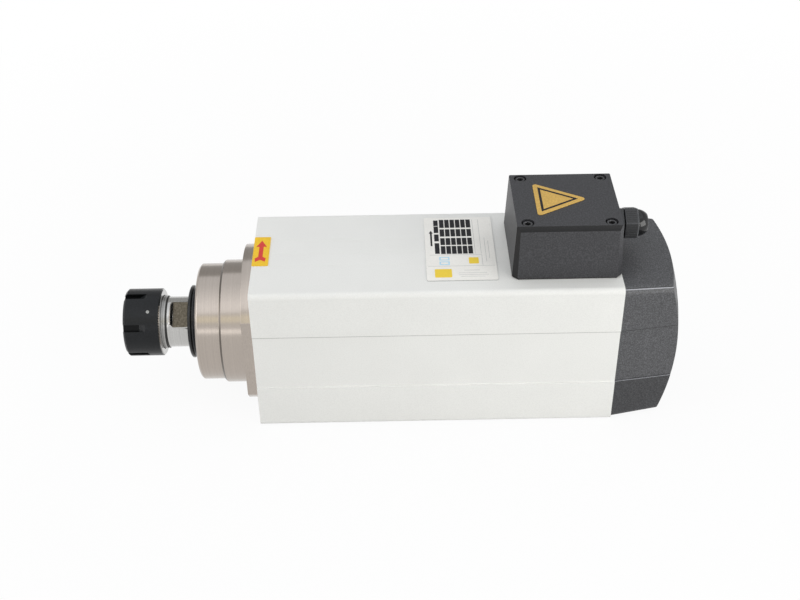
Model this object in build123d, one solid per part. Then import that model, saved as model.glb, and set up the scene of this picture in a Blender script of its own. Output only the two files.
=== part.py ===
from build123d import *
import os
from math import atan, cos, degrees, radians, sin, sqrt, tan

# Square air-cooled motor spindle with an ER collet nose.
# The spindle axis is parallel to X, the nose points towards -X and the terminal box stands on top (+Z).
# The origin is the centre of the lower mounting face, midway along the housing. All lengths are in mm.
# Pieces are drawn about the spindle axis, and save() lifts them so that the mounting face lies at z = 0.

os.makedirs("parts", exist_ok=True)

# ---------------------------------------------------------------- fits
FIXED_FIT = 0.05
RUNNING_FIT = 0.3
BEARING_FIT = 0.02
THREAD_FIT = 0.1
OVERCUT = 1.0

# ---------------------------------------------------------------- housing extrusion
BODY_LENGTH = 260.0
BODY_HEIGHT = 120.0
BODY_WIDTH = 102.0
BODY_CORNER = 4.0
OUTER_WALL = 3.0
SIDE_WALL = 5.0
RING_WALL = 4.0
BAND_HEIGHT = 46.8
BAND_DEPTH = 0.9
SCRIBE_PITCH = 16.0
SCRIBE_WIDTH = 0.6
SCRIBE_DEPTH = 0.3
SCREW_BOSS = 11.0
TAPPED_SPARE = 1.0

# ---------------------------------------------------------------- tapped holes in the mounting face
MOUNT_SPACING_X = 160.0
MOUNT_SPACING_Y = 70.0
MOUNT_HOLE = 6.8
MOUNT_DEPTH = 16.0
MOUNT_RAIL = 16.0

# ---------------------------------------------------------------- front flange
PLATE_RIM = 6.1
PLATE_INSET = 2.0
PLATE_SIDE_INSET = 4.5
PLATE_THICKNESS = 7.6
STEP_INSET = 1.0
STEP_LENGTH = 17.0
STEP_CHAMFER = 1.5
NOSE_STEP = 2.5
NOSE_LENGTH = 17.4
NOSE_CHAMFER = 1.5
SPIGOT_LENGTH = 12.0
FRONT_LIP_BORE = 56.0

# ---------------------------------------------------------------- screws that close both ends of the housing
END_SCREW_EDGE = 4.9
END_SCREW = 5.0
END_SCREW_HEAD = 8.5
END_SCREW_HEAD_HEIGHT = 3.5
END_SCREW_LENGTH = 16.0
HEAD_RECESS = 4.0
HEAD_CLEARANCE = 0.5

# ---------------------------------------------------------------- bearings
FRONT_BEARING_OUTER = 62.0
FRONT_BEARING_BORE = 35.0
FRONT_BEARING_LENGTH = 28.0
REAR_BEARING_OUTER = 52.0
REAR_BEARING_BORE = 25.0
REAR_BEARING_LENGTH = 15.0
BEARING_SPLIT = 0.55
COVER_LENGTH = 5.0

# ---------------------------------------------------------------- spindle shaft and collet seat
THREAD_DIAMETER = 40.0
THREAD_LENGTH = 21.0
NECK_STEP = 1.3
NECK_LENGTH = 16.1
WRENCH_FLATS = 32.0
WRENCH_FLAT_LENGTH = 12.0
WRENCH_FLAT_ANGLE = 56.0
TAPER_MOUTH = 32.0
TAPER_ANGLE = 8.0
TAPER_DEPTH = 33.0
DRAW_BORE = 14.0
DRAW_BORE_DEPTH = 12.0
ROTOR_SEAT = 33.0
FAN_STUD = 16.0
FAN_STUD_END = 2.0
SHAFT_SHOULDER = 3.0
THREAD_CHAMFER = 1.0

# ---------------------------------------------------------------- slinger ring
SLINGER_DIAMETER = 55.0
SLINGER_LENGTH = 7.2
SLINGER_GAP = 0.6

# ---------------------------------------------------------------- collet, its nut and the extraction ring
COLLET_LENGTH = 40.0
COLLET_LARGE = 33.0
COLLET_CONE_LENGTH = 4.4
COLLET_CONE_ANGLE = 30.0
COLLET_GROOVE = 29.6
COLLET_GROOVE_WIDTH = 2.4
COLLET_BORE = 12.0
COLLET_SLOTS = 4
COLLET_SLOT_WIDTH = 1.0
COLLET_WEB = 7.0
NUT_WALL = 4.9
NUT_LENGTH = 26.8
NUT_BACK = 4.4
NUT_CHAMFER = 1.6
NUT_REAR_CHAMFER = 1.0
NUT_SLOTS = 6
NUT_SLOT_WIDTH = 5.2
NUT_SLOT_DEPTH = 3.0
NUT_SLOT_LENGTH = 16.5
NUT_SLOT_RUNOUT = 5.0
NUT_SLOT_ANGLE = 27.0
RING_OFFSET = 0.9
RING_THICKNESS = 2.0
PLUG_DIAMETER = 2.6
PLUG_DEPTH = 2.5
PLUG_FROM_REAR = 8.5
PLUG_ANGLE = 55.0

# ---------------------------------------------------------------- motor
STATOR_LENGTH = 140.0
STATOR_FROM_FRONT = 48.0
COIL_LENGTH = 24.0
COIL_GAP = 4.0
COIL_THICKNESS = 9.0
COIL_COUNT = 24
AIR_GAP = 0.5
ROTOR_DIAMETER = 58.0
ROTOR_RING_LENGTH = 9.0
ROTOR_RING_OUTER = 54.0
ROTOR_RING_INNER = 40.0
ROTOR_BARS = 28
LOCKNUT_MARGIN = 2.0
LOCKNUT_FLATS = 46.0
LOCKNUT_LENGTH = 8.0

# ---------------------------------------------------------------- rear shield, fan and fan cover
SHIELD_GAP = 0.1
SHIELD_CORNER = 6.0
SHIELD_THICKNESS = 6.0
SHIELD_SPIGOT = 12.0
SHIELD_LIP = 3.0
SHIELD_LIP_BORE = 44.0
FAN_TIP_GAP = 5.0
FAN_HUB = 27.0
FAN_LENGTH = 16.0
FAN_BLADES = 8
FAN_BLADE_THICKNESS = 1.8
FAN_BLADE_TILT = 35.0
FAN_NUT_FLATS = 24.0
FAN_NUT_LENGTH = 8.0
COVER_INSET = 0.4
COVER_SIDE_DRAFT = 8.7
COVER_TOP_DRAFT = 4.1
COVER_WALL = 2.8
COVER_APEX = 48.4
COVER_DOME_RADIUS = 190.0
COVER_CORNER = 6.0
COVER_POST = 11.0
COVER_SCREW_RECESS = 5.0
GRILLE_INSET = 3.0
GRILLE_SLOT = 4.6
GRILLE_PITCH = 9.2
GRILLE_SPINE = 5.0

# ---------------------------------------------------------------- terminal box
BOX_LENGTH = 76.6
BOX_DEPTH = 74.4
BOX_HEIGHT = 42.0
BOX_TAPER = 2.0
BOX_CORNER = 3.6
BOX_EDGE = 1.8
BOX_EDGE_DROP = 3.4
BOX_WALL = 3.0
BOX_CENTRE_FROM_REAR = 38.8
BOX_SCREW_INSET = 8.5
BOX_SCREW = 4.0
BOX_SCREW_HEAD = 7.0
BOX_SCREW_HEAD_HEIGHT = 4.0
BOX_SCREW_RECESS = 4.8
BOX_COUNTERBORE = 9.0
BOX_POST = 13.0
BOX_RIB = 7.0
BOX_SCREW_BITE = 6.0
GASKET = 1.0
GASKET_INSET = 0.5
CABLE_HOLE = 18.0
BLOCK_LENGTH = 30.0
BLOCK_DEPTH = 18.0
BLOCK_HEIGHT = 14.0
BLOCK_STEP = 5.0
STUD_FLATS = 5.5
STUD_HEIGHT = 5.0
STUD_PITCH = 9.0
BLOCK_OFFSET = 18.0

# ---------------------------------------------------------------- cable gland
GLAND_HEIGHT = 21.4
GLAND_PAD = 25.0
GLAND_PAD_PROUD = 0.5
GLAND_THREAD = 16.0
GLAND_BORE = 10.0
GLAND_COLLAR = 4.9
GLAND_FLATS = 21.0
GLAND_NUT_LENGTH = 9.5
GLAND_DOME_LENGTH = 7.2
GLAND_BEVEL = 0.6
GLAND_DOME_RADIUS = 9.7
GLAND_MOUTH = 12.0
GLAND_NUT_BEYOND = 2.0
GLAND_LOCKNUT = 4.0
GLAND_THREAD_INSIDE = 6.0

# ---------------------------------------------------------------- plates on the outside
PLATE_SKIN = 0.5
NAMEPLATE_LENGTH = 49.8
NAMEPLATE_DEPTH = 79.2
NAMEPLATE_FROM_FRONT = 148.6
NAMEPLATE_OFFSET = 2.7
ARROW_PLATE_LENGTH = 11.6
ARROW_PLATE_DEPTH = 35.8
ARROW_PLATE_OFFSET = 2.8
BADGE_HEIGHT = 36.6
BADGE_CORNER = 2.0
BADGE_BASE = -21.0

# ---------------------------------------------------------------- diameters and widths, worked out from the sizes
stator_bore = BODY_WIDTH - 2 * SIDE_WALL
plate_diameter = stator_bore + 2 * (END_SCREW_EDGE + PLATE_RIM)
plate_flats = BODY_WIDTH - 2 * PLATE_SIDE_INSET
step_diameter = plate_flats - 2 * STEP_INSET
nose_diameter = step_diameter - 2 * NOSE_STEP
screw_pitch = sqrt(2) * (stator_bore / 2 + END_SCREW_EDGE)
neck_diameter = THREAD_DIAMETER - 2 * NECK_STEP
nut_diameter = THREAD_DIAMETER + 2 * (THREAD_FIT + NUT_WALL)
coil_outer = stator_bore - 2 * COIL_GAP
coil_inner = coil_outer - 2 * COIL_THICKNESS
side_lean = tan(radians(COVER_SIDE_DRAFT))
top_lean = tan(radians(COVER_TOP_DRAFT))
shield_side = BODY_WIDTH - 2 * (COVER_INSET + COVER_WALL + SHIELD_THICKNESS * side_lean + SHIELD_GAP)
fan_diameter = stator_bore - 2 * FAN_TIP_GAP
grille_radius = fan_diameter / 2 - GRILLE_INSET
box_screw_pitch = min(BOX_LENGTH, BOX_DEPTH) - 2 * BOX_SCREW_INSET

# ---------------------------------------------------------------- places along X, worked out from the sizes
front = -BODY_LENGTH / 2
rear = BODY_LENGTH / 2
plate_front = front - PLATE_THICKNESS
step_front = plate_front - STEP_LENGTH
nose_front = step_front - NOSE_LENGTH
bearing_front = nose_front + COVER_LENGTH
bearing_rear = bearing_front + FRONT_BEARING_LENGTH
slinger_rear = nose_front - SLINGER_GAP
slinger_front = slinger_rear - SLINGER_LENGTH
thread_rear = slinger_front - NECK_LENGTH
shaft_front = thread_rear - THREAD_LENGTH
stator_front = front + STATOR_FROM_FRONT
stator_rear = stator_front + STATOR_LENGTH
shield_rear = rear + SHIELD_THICKNESS
rear_bearing_front = rear - SHIELD_SPIGOT + SHIELD_LIP
rear_bearing_rear = rear_bearing_front + REAR_BEARING_LENGTH
fan_front = max(rear_bearing_rear, shield_rear) + SHAFT_SHOULDER
fan_rear = fan_front + FAN_LENGTH
fan_nut_rear = fan_rear + FAN_NUT_LENGTH
dome_centre = rear + COVER_APEX - COVER_DOME_RADIUS
bearings = (
    (bearing_front, FRONT_BEARING_LENGTH, FRONT_BEARING_BORE, FRONT_BEARING_OUTER),
    (rear_bearing_front, REAR_BEARING_LENGTH, REAR_BEARING_BORE, REAR_BEARING_OUTER),
)
taper = tan(radians(TAPER_ANGLE))
collet_land = shaft_front - (COLLET_LARGE - TAPER_MOUTH) / 2 / taper
cone_rear = collet_land - COLLET_GROOVE_WIDTH
collet_front = cone_rear - COLLET_CONE_LENGTH
nut_rear = thread_rear - NUT_BACK
nut_front = nut_rear - NUT_LENGTH

# ---------------------------------------------------------------- other places
top = BODY_HEIGHT / 2
box_x = rear - BOX_CENTRE_FROM_REAR
box_floor = top + GASKET
lid_top = top + BOX_HEIGHT
gland_x = box_x + BOX_LENGTH / 2 - BOX_TAPER * GLAND_HEIGHT / BOX_HEIGHT + GLAND_PAD_PROUD
gland_z = top + GLAND_HEIGHT
wall_inside = box_x + BOX_LENGTH / 2 - BOX_WALL - BOX_TAPER


# ---------------------------------------------------------------- drawing helpers
def across(x):
    """The plane square to the spindle axis at x, with its own axes along Y and Z."""
    return Plane.YZ.offset(x)


def turned(*profile):
    """A solid turned about the spindle axis from (x, radius) corners."""
    outline = Polyline([(x, 0, radius) for x, radius in profile], close=True)
    return revolve(make_face(outline), axis=Axis.X)


def ring(start, end, outer, inner):
    """A plain ring between two places on the axis, from its diameters."""
    return extrude(across(start) * (Circle(outer / 2) - Circle(inner / 2)), amount=end - start)


def rod(x, y, z, diameter, length):
    """A round bar parallel to the spindle axis that starts at (x, y, z)."""
    return Pos(0, y, z) * extrude(across(x) * Circle(diameter / 2), amount=length)


def corners(pitch_y, pitch_z):
    """The four corners of a rectangle round the axis."""
    return [(y * pitch_y / 2, z * pitch_z / 2) for y in (-1, 1) for z in (-1, 1)]


def save(piece, name):
    """Write one piece, lifted so that the mounting face lies at z = 0."""
    export_step(Pos(0, 0, BODY_HEIGHT / 2) * piece, f"parts/{name}.step")


# ---------------------------------------------------------------- housing
def cooling_channels():
    """The air channels between the bore's ring and the outer walls, as a cross-section."""
    channels = Rectangle(BODY_WIDTH - 2 * OUTER_WALL, BODY_HEIGHT - 2 * OUTER_WALL)
    channels -= Circle(stator_bore / 2 + RING_WALL)
    for side in (-1, 1):
        channels -= Pos(side * box_screw_pitch / 2, top / 2) * Rectangle(BOX_RIB, top)
        channels -= Pos(side * MOUNT_SPACING_Y / 2, -top / 2) * Rectangle(MOUNT_RAIL, top)
    for y, z in corners(screw_pitch, screw_pitch):
        channels -= Pos(y, z) * Rectangle(SCREW_BOSS, SCREW_BOSS)
    return channels


def body_housing():
    """The extruded aluminium housing, with its stator bore, air channels and tapped holes."""
    outline = RectangleRounded(BODY_WIDTH, BODY_HEIGHT, BODY_CORNER)
    outline -= Circle(stator_bore / 2)
    outline -= cooling_channels()
    for side in (-1, 1):
        outline -= Pos(side * BODY_WIDTH / 2, 0) * Rectangle(2 * BAND_DEPTH, BAND_HEIGHT)
    for line in (-1, 0, 1):
        outline -= Pos(line * SCRIBE_PITCH, top) * Rectangle(SCRIBE_WIDTH, 2 * SCRIBE_DEPTH)
    body = extrude(across(front) * outline, amount=BODY_LENGTH)
    bite = END_SCREW_LENGTH - (PLATE_THICKNESS - HEAD_RECESS) + TAPPED_SPARE
    for y, z in corners(screw_pitch, screw_pitch):
        body -= rod(front, y, z, END_SCREW + 2 * FIXED_FIT, bite)
        body -= rod(rear - END_SCREW_LENGTH, y, z, END_SCREW + 2 * FIXED_FIT, END_SCREW_LENGTH)
    for x, y in corners(MOUNT_SPACING_X, MOUNT_SPACING_Y):
        body -= Pos(x, y, -top + MOUNT_DEPTH / 2) * Cylinder(MOUNT_HOLE / 2, MOUNT_DEPTH)
    for x, y in corners(box_screw_pitch, box_screw_pitch):
        hole = Cylinder(BOX_SCREW / 2 + FIXED_FIT, 2 * BOX_SCREW_BITE)
        body -= Pos(box_x + x, y, top) * hole
    cable_depth = top - stator_bore / 2 + RING_WALL
    body -= Pos(box_x, 0, top - cable_depth / 2) * Cylinder(CABLE_HOLE / 2, cable_depth)
    return body


def front_flange():
    """The steel nose, turned with two steps, with a plate that is flat at both sides."""
    bore = FRONT_BEARING_OUTER / 2
    nose = nose_diameter / 2
    step = step_diameter / 2
    plate = plate_diameter / 2
    spigot = stator_bore / 2 - FIXED_FIT
    lip = FRONT_LIP_BORE / 2
    flange = turned(
        (nose_front, bore),
        (nose_front, nose - NOSE_CHAMFER),
        (nose_front + NOSE_CHAMFER, nose),
        (step_front, nose),
        (step_front, step - STEP_CHAMFER),
        (step_front + STEP_CHAMFER, step),
        (plate_front, step),
        (plate_front, plate),
        (front, plate),
        (front, spigot),
        (front + SPIGOT_LENGTH, spigot),
        (front + SPIGOT_LENGTH, lip),
        (bearing_rear, lip),
        (bearing_rear, bore),
    )
    length = 2 * (front + SPIGOT_LENGTH - nose_front)
    flange &= Pos(front, 0, 0) * Box(length, plate_flats, BODY_HEIGHT - 2 * PLATE_INSET)
    for y, z in corners(screw_pitch, screw_pitch):
        flange -= rod(plate_front, y, z, END_SCREW + HEAD_CLEARANCE, PLATE_THICKNESS)
        flange -= rod(plate_front, y, z, END_SCREW_HEAD + HEAD_CLEARANCE, HEAD_RECESS)
    return flange


def end_screws(seat, tip, facing):
    """Four screws along X, with the heads on the seat, towards -X (-1) or +X (1)."""
    head_start = min(seat, seat + facing * END_SCREW_HEAD_HEIGHT)
    screws = []
    for y, z in corners(screw_pitch, screw_pitch):
        head = rod(head_start, y, z, END_SCREW_HEAD, END_SCREW_HEAD_HEIGHT)
        screws.append(head + rod(min(seat, tip), y, z, END_SCREW, abs(tip - seat)))
    return Part() + screws


def flange_screws():
    """The four screws that hold the front flange, sunk in its plate."""
    seat = plate_front + HEAD_RECESS
    return end_screws(seat, seat + END_SCREW_LENGTH, -1)


# ---------------------------------------------------------------- bearings
def split_diameter(bore, outer):
    """The diameter at which a bearing's inner ring meets its outer ring."""
    return bore + BEARING_SPLIT * (outer - bore)


def bearing_outer_rings():
    """The outer rings of both sealed bearings, which reach in to the seal gap."""
    return Part() + [
        ring(start, start + length, outer - 2 * BEARING_FIT, split_diameter(bore, outer) + RUNNING_FIT)
        for start, length, bore, outer in bearings
    ]


def bearing_inner_rings():
    """The inner rings of both sealed bearings, which turn with the shaft."""
    return Part() + [
        ring(start, start + length, split_diameter(bore, outer) - RUNNING_FIT, bore + 2 * BEARING_FIT)
        for start, length, bore, outer in bearings
    ]


def front_bearing_cover():
    """The threaded ring in the nose that holds the front bearing."""
    return ring(
        nose_front, bearing_front, FRONT_BEARING_OUTER - 2 * FIXED_FIT, neck_diameter + 4 * RUNNING_FIT
    )


# ---------------------------------------------------------------- turning parts
def spindle_shaft():
    """The hollow spindle shaft, with the collet seat, the nut thread and two wrench flats."""
    mouth = TAPER_MOUTH / 2
    seat_end = shaft_front + TAPER_DEPTH
    bore_end = seat_end + DRAW_BORE_DEPTH
    thread = THREAD_DIAMETER / 2
    neck = neck_diameter / 2
    journal = FRONT_BEARING_BORE / 2
    locknut_end = bearing_rear + LOCKNUT_LENGTH + LOCKNUT_MARGIN
    stud_end = fan_nut_rear + FAN_STUD_END
    shaft = turned(
        (shaft_front, mouth),
        (shaft_front, thread - THREAD_CHAMFER),
        (shaft_front + THREAD_CHAMFER, thread),
        (thread_rear, thread),
        (thread_rear, neck),
        (bearing_front, neck),
        (bearing_front, journal),
        (locknut_end, journal),
        (locknut_end, ROTOR_SEAT / 2),
        (rear_bearing_front, ROTOR_SEAT / 2),
        (rear_bearing_front, REAR_BEARING_BORE / 2),
        (fan_front, REAR_BEARING_BORE / 2),
        (fan_front, FAN_STUD / 2),
        (stud_end, FAN_STUD / 2),
        (stud_end, 0),
        (bore_end, 0),
        (bore_end, DRAW_BORE / 2),
        (seat_end, DRAW_BORE / 2),
        (seat_end, mouth - TAPER_DEPTH * taper),
    )
    flat_x = slinger_front - WRENCH_FLAT_LENGTH / 2
    cut = THREAD_DIAMETER / 2
    for side in (-1, 1):
        away = side * (WRENCH_FLATS + cut) / 2
        flat = Pos(flat_x, 0, away) * Box(WRENCH_FLAT_LENGTH, THREAD_DIAMETER, cut)
        shaft -= Rot(90 - WRENCH_FLAT_ANGLE, 0, 0) * flat
    return shaft


def slinger_ring():
    """The ring in front of the nose that throws off dust and coolant."""
    return ring(slinger_front, slinger_rear, SLINGER_DIAMETER, neck_diameter + 2 * FIXED_FIT)


def hexagon(x, flats, length, bore):
    """A hexagonal nut or collar on the spindle axis, from its width across flats."""
    outline = RegularPolygon(flats / 2, 6, major_radius=False) - Circle(bore / 2)
    return extrude(across(x) * outline, amount=length)


def bearing_locknut():
    """The nut that clamps the front bearing's inner ring against the shaft shoulder."""
    return hexagon(bearing_rear, LOCKNUT_FLATS, LOCKNUT_LENGTH, FRONT_BEARING_BORE + 2 * FIXED_FIT)


def rotor_core():
    """The rotor's stack of steel laminations."""
    return ring(stator_front, stator_rear, ROTOR_DIAMETER, ROTOR_SEAT + 2 * FIXED_FIT)


def sided_ring(x, sides, outer, inner, length):
    """A ring with as many flats as it has bars or coils."""
    outline = RegularPolygon(outer / 2, sides) - RegularPolygon(inner / 2, sides)
    return extrude(across(x) * outline, amount=length)


def rotor_end_rings():
    """The two cast rings that join the rotor bars."""
    return Part() + [
        sided_ring(x, ROTOR_BARS, ROTOR_RING_OUTER, ROTOR_RING_INNER, ROTOR_RING_LENGTH)
        for x in (stator_front - ROTOR_RING_LENGTH, stator_rear)
    ]


def stator_core():
    """The stator's stack of steel laminations, pressed into the housing bore."""
    return ring(stator_front, stator_rear, stator_bore - 2 * FIXED_FIT, ROTOR_DIAMETER + 2 * AIR_GAP)


def stator_windings():
    """The coil heads at both ends of the stator."""
    return Part() + [
        sided_ring(x, COIL_COUNT, coil_outer, coil_inner, COIL_LENGTH)
        for x in (stator_front - COIL_LENGTH, stator_rear)
    ]


# ---------------------------------------------------------------- collet and nut
def er_collet():
    """The spring collet, slit from both ends in turn."""
    large = COLLET_LARGE / 2 - FIXED_FIT
    face = large - COLLET_CONE_LENGTH * tan(radians(COLLET_CONE_ANGLE))
    groove = COLLET_GROOVE / 2
    end = collet_front + COLLET_LENGTH
    collet = turned(
        (collet_front, COLLET_BORE / 2),
        (collet_front, face),
        (cone_rear, large),
        (cone_rear, groove),
        (collet_land, groove),
        (collet_land, large),
        (end, large - (end - collet_land) * taper),
        (end, COLLET_BORE / 2),
    )
    slit_length = COLLET_LENGTH - COLLET_WEB
    step = 360 / COLLET_SLOTS
    for number in range(COLLET_SLOTS):
        slit = Pos(0, 0, COLLET_LARGE / 2) * Box(slit_length, COLLET_SLOT_WIDTH, COLLET_LARGE)
        from_front = Pos(collet_front + slit_length / 2, 0, 0) * slit
        from_rear = Pos(end - slit_length / 2, 0, 0) * slit
        collet -= Rot(number * step, 0, 0) * from_front
        collet -= Rot((number + 0.5) * step, 0, 0) * from_rear
    return collet


def collet_nut():
    """The clamping nut, with its closing cone and hook-wrench slots."""
    outside = nut_diameter / 2
    bore = THREAD_DIAMETER / 2 + THREAD_FIT
    slope = tan(radians(COLLET_CONE_ANGLE))
    cone_end = COLLET_LARGE / 2
    mouth = cone_end - (cone_rear - nut_front) * slope
    nut = turned(
        (nut_front, mouth),
        (nut_front, outside - NUT_CHAMFER),
        (nut_front + NUT_CHAMFER, outside),
        (nut_rear - NUT_REAR_CHAMFER, outside),
        (nut_rear, outside - NUT_REAR_CHAMFER),
        (nut_rear, bore),
        (cone_rear, bore),
        (cone_rear, cone_end),
    )
    floor = outside - NUT_SLOT_DEPTH
    slot_end = nut_front + NUT_SLOT_LENGTH
    side_view = Polyline(
        (nut_front - OVERCUT, 0, floor),
        (slot_end - NUT_SLOT_RUNOUT, 0, floor),
        (slot_end, 0, outside),
        (slot_end, 0, outside + OVERCUT),
        (nut_front - OVERCUT, 0, outside + OVERCUT),
        close=True,
    )
    slot = extrude(make_face(side_view), amount=NUT_SLOT_WIDTH / 2, both=True)
    for number in range(NUT_SLOTS):
        nut -= Rot(90 - NUT_SLOT_ANGLE + number * 360 / NUT_SLOTS, 0, 0) * slot
    return nut - nut_plug(FIXED_FIT)


def nut_plug(clearance=0.0):
    """The steel plug in the side of the nut, or with a clearance the hole that it sits in."""
    depth = PLUG_DEPTH + clearance
    pin = Cylinder(PLUG_DIAMETER / 2 + clearance, depth)
    x = nut_rear - PLUG_FROM_REAR
    return Rot(90 - PLUG_ANGLE, 0, 0) * Pos(x, 0, nut_diameter / 2 - depth / 2) * pin


def extraction_ring():
    """The ring in the nut whose offset bore hooks into the collet's groove."""
    bore = (COLLET_GROOVE + COLLET_LARGE) / 4 + THREAD_FIT
    outline = Circle(THREAD_DIAMETER / 2 + THREAD_FIT - FIXED_FIT) - Pos(RING_OFFSET, 0) * Circle(bore)
    start = cone_rear + (COLLET_GROOVE_WIDTH - RING_THICKNESS) / 2
    return extrude(across(start) * outline, amount=RING_THICKNESS)


# ---------------------------------------------------------------- rear shield, fan and fan cover
def rear_shield():
    """The square aluminium plate with a round spigot that carries the rear bearing."""
    plate = extrude(
        across(rear) * RectangleRounded(shield_side, shield_side, SHIELD_CORNER), amount=SHIELD_THICKNESS
    )
    spigot = extrude(across(rear - SHIELD_SPIGOT) * Circle(stator_bore / 2 - FIXED_FIT), amount=SHIELD_SPIGOT)
    shield = plate + spigot
    shield -= rod(rear - SHIELD_SPIGOT, 0, 0, SHIELD_LIP_BORE, SHIELD_LIP)
    shield -= rod(rear_bearing_front, 0, 0, REAR_BEARING_OUTER, shield_rear - rear_bearing_front)
    for y, z in corners(screw_pitch, screw_pitch):
        shield -= rod(rear, y, z, END_SCREW + HEAD_CLEARANCE, SHIELD_THICKNESS)
    return shield


def cooling_fan():
    """The fan on the rear end of the shaft, with tilted straight blades."""
    fan = ring(fan_front, fan_rear, FAN_HUB, FAN_STUD + 2 * FIXED_FIT)
    hub = FAN_HUB / 2
    reach = (fan_diameter - FAN_HUB) / 2 + FAN_BLADE_THICKNESS
    chord = (FAN_LENGTH - FAN_BLADE_THICKNESS * sin(radians(FAN_BLADE_TILT))) / cos(radians(FAN_BLADE_TILT))
    blade = Pos(0, 0, hub - FAN_BLADE_THICKNESS + reach / 2) * Box(chord, FAN_BLADE_THICKNESS, reach)
    blade = Rot(0, 0, FAN_BLADE_TILT) * blade
    bore = rod(fan_front, 0, 0, FAN_STUD + 2 * FIXED_FIT, FAN_LENGTH)
    for number in range(FAN_BLADES):
        fan += Pos((fan_front + fan_rear) / 2, 0, 0) * Rot(number * 360 / FAN_BLADES, 0, 0) * blade
    return fan - bore


def fan_nut():
    """The nut that holds the fan on the shaft."""
    return hexagon(fan_rear, FAN_NUT_FLATS, FAN_NUT_LENGTH, FAN_STUD + 2 * FIXED_FIT)


def dome(inset):
    """The ball that rounds the rear of the fan cover, or its hollow."""
    return Pos(dome_centre, 0, 0) * Sphere(COVER_DOME_RADIUS - inset)


def cover_block(inset):
    """A block with the fan cover's outline, drawn in by an inset, that narrows more in width than in height."""
    length = COVER_APEX + OVERCUT
    half_width = BODY_WIDTH / 2 - COVER_INSET - inset
    half_height = BODY_HEIGHT / 2 - COVER_INSET - inset
    end_width = half_width - length * side_lean
    end_height = half_height - length * top_lean
    plan = Polyline(
        (rear, -half_width), (rear + length, -end_width), (rear + length, end_width), (rear, half_width), close=True
    )
    side_view = Polyline(
        (rear, 0, -half_height), (rear + length, 0, -end_height), (rear + length, 0, end_height),
        (rear, 0, half_height), close=True,
    )
    block = extrude(make_face(plan), amount=half_height, both=True)
    block &= extrude(make_face(side_view), amount=half_width, both=True)
    long_edges = block.edges().filter_by(lambda edge: abs(edge.tangent_at(0).X) > 0.5)
    return fillet(long_edges, COVER_CORNER)


def fan_cover():
    """The moulded cover over the fan: a drafted box under a dome, with a slotted grille and screw posts."""
    band = Pos(rear, 0, 0) * Box(4 * COVER_APEX, 2 * BODY_WIDTH, BAND_HEIGHT)
    shell = cover_block(0) & dome(0)
    shell -= band - cover_block(BAND_DEPTH)
    shell -= cover_block(COVER_WALL) & dome(COVER_WALL)
    rows = int(grille_radius / GRILLE_PITCH - GRILLE_SLOT / GRILLE_PITCH / 2)
    for row in range(-rows, rows + 1):
        z = row * GRILLE_PITCH
        reach = sqrt(grille_radius**2 - z**2) - GRILLE_SPINE / 2
        for side in (-1, 1):
            slot = Box(COVER_APEX, reach, GRILLE_SLOT)
            shell -= Pos(rear + COVER_APEX, side * (GRILLE_SPINE + reach) / 2, z) * slot
    for y, z in corners(screw_pitch, screw_pitch):
        post = rod(shield_rear, y, z, COVER_POST, COVER_APEX)
        shell += post & dome(COVER_WALL / 2)
        shell -= rod(shield_rear, y, z, END_SCREW + HEAD_CLEARANCE, COVER_APEX)
        shell -= rod(cover_seat(), y, z, END_SCREW_HEAD + HEAD_CLEARANCE, COVER_APEX)
    return shell


def cover_seat():
    """Where the heads of the cover screws sit, below the dome."""
    off_axis = screw_pitch / sqrt(2)
    return dome_centre + sqrt(COVER_DOME_RADIUS**2 - off_axis**2) - COVER_SCREW_RECESS


def cover_screws():
    """The four long screws that hold the fan cover and the rear shield to the housing."""
    return end_screws(cover_seat(), rear - END_SCREW_LENGTH + TAPPED_SPARE, 1)


# ---------------------------------------------------------------- terminal box
def box_outline(inset):
    """The terminal box's outline, with its corners cut off."""
    outline = Rectangle(BOX_LENGTH - 2 * inset, BOX_DEPTH - 2 * inset)
    return chamfer(outline.vertices(), BOX_CORNER)


def terminal_box_cover():
    """The moulded terminal box, a drafted cap with four screw posts and a pad for the cable gland."""
    height = BOX_HEIGHT - GASKET
    base = Plane.XY.offset(box_floor)
    lean = degrees(atan(BOX_TAPER / BOX_HEIGHT))
    shell = extrude(base * box_outline(0), amount=height, taper=lean)
    lid = shell.faces().sort_by(Axis.Z)[-1]
    long_edges = lid.edges().filter_by(Axis.X)
    shell = chamfer(long_edges, length=BOX_EDGE, length2=BOX_EDGE_DROP, reference=lid)
    skin = extrude(base * box_outline(BOX_WALL), amount=height - BOX_WALL, taper=lean)
    for x, y in corners(box_screw_pitch, box_screw_pitch):
        skin -= Pos(x, y, box_floor + height / 2) * Box(BOX_POST, BOX_POST, height)
    pad = rod(wall_inside - box_x, 0, gland_z, GLAND_PAD, gland_x - wall_inside)
    shell = shell - skin + pad
    for x, y in corners(box_screw_pitch, box_screw_pitch):
        shell -= Pos(x, y, box_floor + height / 2) * Cylinder((BOX_SCREW + HEAD_CLEARANCE) / 2, height)
        shell -= Pos(x, y, lid_top) * Cylinder(BOX_COUNTERBORE / 2, 2 * BOX_SCREW_RECESS)
    shell -= rod(0, 0, gland_z, GLAND_THREAD + 2 * FIXED_FIT, BOX_LENGTH)
    return Pos(box_x, 0, 0) * shell


def box_gasket():
    """The rubber gasket under the terminal box's rim."""
    outline = box_outline(GASKET_INSET) - box_outline(BOX_WALL)
    return Pos(box_x, 0, top) * extrude(outline, amount=GASKET)


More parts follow.
